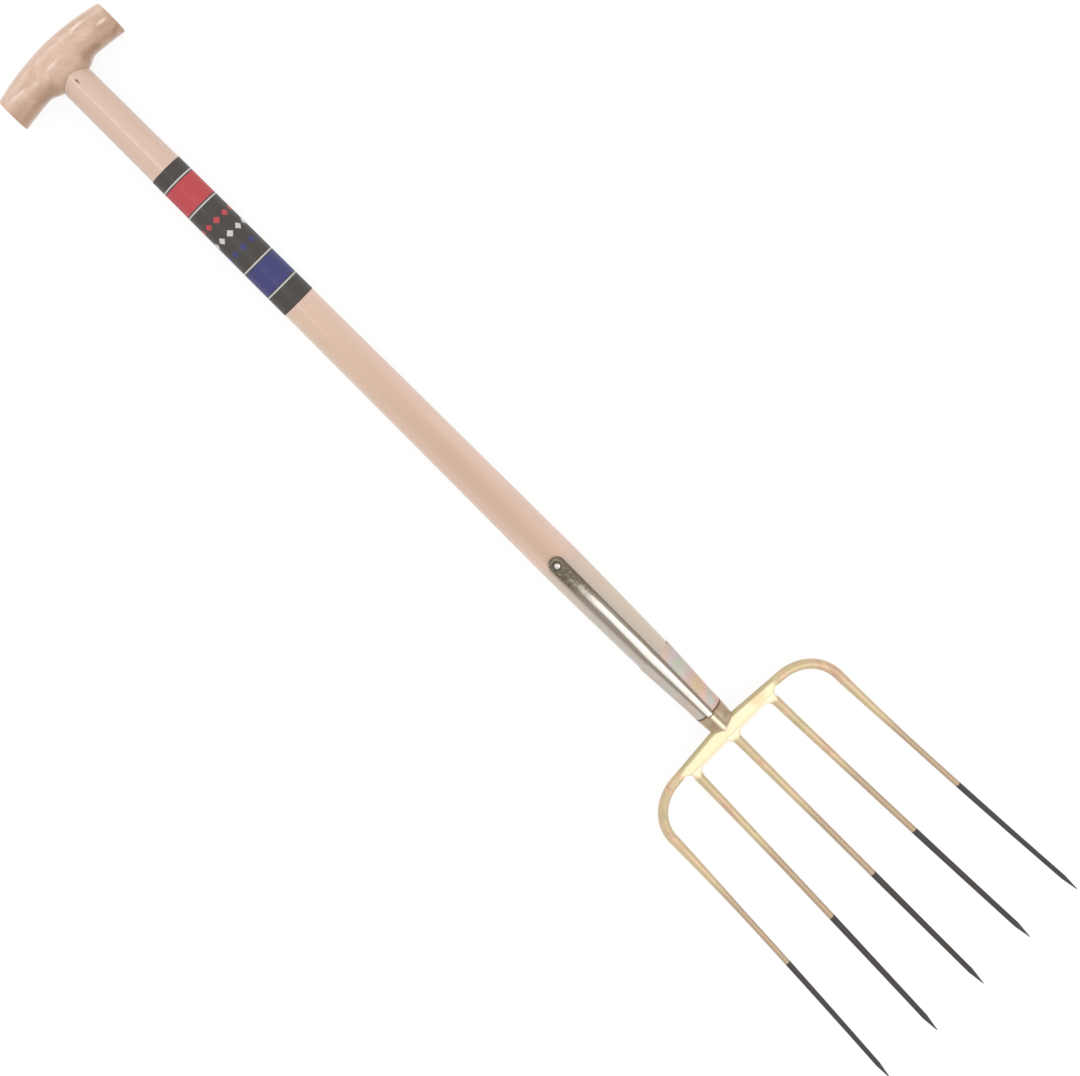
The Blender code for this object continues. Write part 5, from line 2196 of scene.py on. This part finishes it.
        turn = self.shaft.strap_turn(self.neck_face)
        radius = self.strap.low_width / 2.0
        start = self.neck_face + self.nose_setback
        level = self.strap.seat(self.shaft.sleeve_end) + self.strap.thickness - radius
        points = turned_aside([(x, 0.0, level) for x in (start, start + self.nose_level)], turn)
        radii = [radius, radius]
        for share in spaced(0.0, 1.0, self.nose_steps):
            slim = radius + (self.nose_end_diameter / 2.0 - radius) * share
            rise = self.neck_radius(share) + self.nose_proud * (1.0 - share / 2.0) - slim
            x, y, z = self.neck_middle(share)
            points.append((x, y - rise * math.sin(turn), z + rise * math.cos(turn)))
            radii.append(slim)
        return [cup, shop.sweep("forging_nose", points, radii)]

    def stub(self, shop: Workshop, plan: Sequence[Place], radii: Sequence[float]) -> bpy.types.Object:
        """Root of a tine for the forging, proud of the tine at first and slimmer at its end.

        Args:
            shop: The workshop.
            plan: The tine in plan.
            radii: Its radii.

        Returns:
            The root.
        """
        last = self.root_last(plan)
        points = [(x, y, self.height(x)) for x, y in plan[:last + 1]]
        slims = []
        for i, radius in enumerate(radii[:last + 1]):
            share = smooth(2.0 * i / last - 1.0)
            slims.append(radius + self.stub_proud - (self.stub_proud + self.tine_hidden) * share)
        return shop.sweep("forging_stub", points, slims)

    def root_last(self, plan: Sequence[Place]) -> int:
        """Number of the last point of a tine that the forging reaches."""
        limit = self.bar_centre + self.stub_reach
        return max(i for i, (x, y) in enumerate(plan) if x <= limit and abs(y) <= self.stub_aside)

    def build(self, shop: Workshop, finish: bpy.types.Material) -> list[bpy.types.Object]:
        """Build and dress the head.

        Args:
            shop: The workshop.
            finish: The gold lacquer with its black dip.

        Returns:
            The forged root and the tines.
        """
        forms = [self.bar(shop)] + self.neck(shop)
        forms += [self.stub(shop, plan, radii) for plan, radii in self.plans().values()]
        shape = bmesh.new()
        for form in forms:
            shape.from_mesh(form.data)
            bpy.data.objects.remove(form, do_unlink=True)
        forging = shop.add("forged_root", shape)
        skin = forging.modifiers.new("one skin", "REMESH")
        skin.mode = "VOXEL"
        skin.voxel_size = self.forging_voxel
        soften = forging.modifiers.new("soften", "SMOOTH")
        soften.factor = self.soften_factor
        soften.iterations = self.soften_times
        shop.settle(forging)
        shop.dress(forging, finish, Slot.GOLD, "fork_head", angle=60.0)

        pieces = [forging]
        for name, (plan, radii) in self.plans().items():
            points = [(x, y, self.height(x)) for x, y in plan]
            last = self.root_last(plan)
            shown = [smooth(4.0 * i / last - 1.0) for i in range(len(radii))]
            slims = [radius - self.tine_hidden * (1.0 - share) for radius, share in zip(radii, shown)]
            tine = shop.sweep(name, points, slims)
            shop.dress(tine, finish, Slot.GOLD, "fork_head")
            pieces.append(tine)
        return pieces


# Studio


@dataclass(frozen=True)
class Softbox:
    """Rectangular white lamp in the fork's axes."""

    name: str
    place: Point
    target: Point
    size: Place
    radiance: float


@dataclass(frozen=True)
class Studio:
    """Pale floor, soft lamps and the camera, with lengths in metres and angles in radians."""

    shop: Workshop
    floor_half: float = 6.0
    sky_light: float = 0.86
    sensor: float = 36.0
    image_width: int = 1080
    focal_pixels: float = 1774.7
    distance: float = 1.632
    aim: Point = (0.58423, 0.0026, 0.0)
    tilt: float = 0.211
    roll: float = -0.004
    spin: float = 0.002
    lamps: tuple[Softbox, ...] = (
        Softbox("overhead_softbox", (1.55, 0.40, 1.60), (0.75, 0.0, 0.0), (1.3, 1.2), 1.10),
        Softbox("side_strip", (0.0, -0.45, 1.65), (0.06, 0.0, 0.0), (0.60, 0.16), 5.8),
        Softbox("grip_softbox", (-1.60, 0.10, 0.75), (0.0, 0.0, 0.0), (0.9, 0.5), 2.4))

    def add_floor(self) -> None:
        """Lay the pale floor."""
        shape = bmesh.new()
        bmesh.ops.create_grid(shape, x_segments=1, y_segments=1, size=self.floor_half)
        floor = add_to_scene("floor", mesh_of("floor", shape))
        floor.data.materials.append(PaleGround().make())

    def add_sky(self) -> None:
        """Surround the fork with white, dimmer as a light than as a background."""
        world = bpy.data.worlds.new("surroundings")
        bpy.context.scene.world = world
        sheet = Sheet(world)
        lit, shown = (sheet.node("ShaderNodeBackground", {}, {"Color": WHITE, "Strength": strength})
                      for strength in (self.sky_light, 1.0))
        sheet.choose_seen(lit, shown, "ShaderNodeOutputWorld")

    def add_lamps(self) -> None:
        """Hang the lamps."""
        to_row = self.shop.axes.to_row
        for box in self.lamps:
            lamp = bpy.data.lights.new(box.name, "AREA")
            lamp.shape = "RECTANGLE"
            lamp.size, lamp.size_y = box.size
            lamp.energy = box.radiance * math.pi * box.size[0] * box.size[1]
            hung = add_to_scene(box.name, lamp)
            place = to_row @ Vector(box.place)
            hung.location = place
            hung.rotation_euler = (to_row @ Vector(box.target) - place).to_track_quat("-Z", "Y").to_euler()
            hung.visible_camera = False

    def add_camera(self) -> None:
        """Set up the camera as the photograph was taken."""
        turn = (Matrix.Rotation(self.spin, 3, "Z") @ Matrix.Rotation(self.tilt, 3, "Y")
                @ Matrix.Rotation(self.roll, 3, "X"))
        along, across, back = turn.row
        right = (along + across).normalized()
        up = (across - along).normalized()
        view = Matrix((right, up, back)).transposed().to_4x4()
        view.translation = Vector(self.aim) + back * self.distance
        data = bpy.data.cameras.new("photo_camera")
        data.sensor_width = self.sensor
        data.lens = self.sensor * self.focal_pixels / self.image_width
        camera = add_to_scene("photo_camera", data)
        camera.matrix_world = self.shop.axes.to_row @ view
        bpy.context.scene.camera = camera

    def build(self) -> None:
        """Build the whole studio."""
        bpy.context.scene.view_settings.view_transform = "Standard"
        self.add_floor()
        self.add_sky()
        self.add_lamps()
        self.add_camera()


def main() -> None:
    """Build every piece in order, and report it."""
    logging.basicConfig(level=logging.INFO, format="%(name)s: %(message)s")
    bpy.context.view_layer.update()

    grip = TGrip()
    shaft = Shaft(grip)
    label = LabelBand(shaft)
    sleeve = SocketSleeve(shaft)
    strap = FrontStrap(shaft, sleeve)
    rivet = StrapRivet(shaft, strap)
    head = ForkHead(shaft, strap)
    line = strap.line()
    steel = BareSteel(
        name="rivet_steel", base=(0.70, 0.68, 0.64), pits_and_shade=(0.07, 0.05, 0.035), pit_share=0.5,
        roughness=0.22, axis=rivet.head_place(), rim_shade_run=(0.0018, 0.0030))
    iron = BareSteel(
        name="nail_iron", base=(0.46, 0.30, 0.21), pits_and_shade=(0.10, 0.06, 0.04), pit_share=0.4, roughness=0.5)

    label_end = label.start + label.length
    rim_crest = shaft.sleeve_top + sleeve.rim_width / 2.0
    shop = Workshop(ForkAxes.from_frame(("label_band", label_end), ("socket_sleeve", rim_crest)))
    built = grip.build(shop, GripWood(grip=grip).make())
    built += shaft.build(shop, ShaftWood(shaft=shaft, strap=line).make(), iron.make())
    built += label.build(shop, PrintedFilm(label=label).make())
    built += sleeve.build(shop, ChromatedZinc(shaft=shaft, strap=line).make())
    built += strap.build(shop, StrapPlating(strap=line).make())
    built += rivet.build(shop, steel.make())
    built += head.build(shop, GoldLacquer(head=head, strap=line).make())
    for piece in built:
        LOG.info("%s: %d faces", piece.name, len(piece.data.polygons))
    Studio(shop).build()


if __name__ == "__main__":
    main()
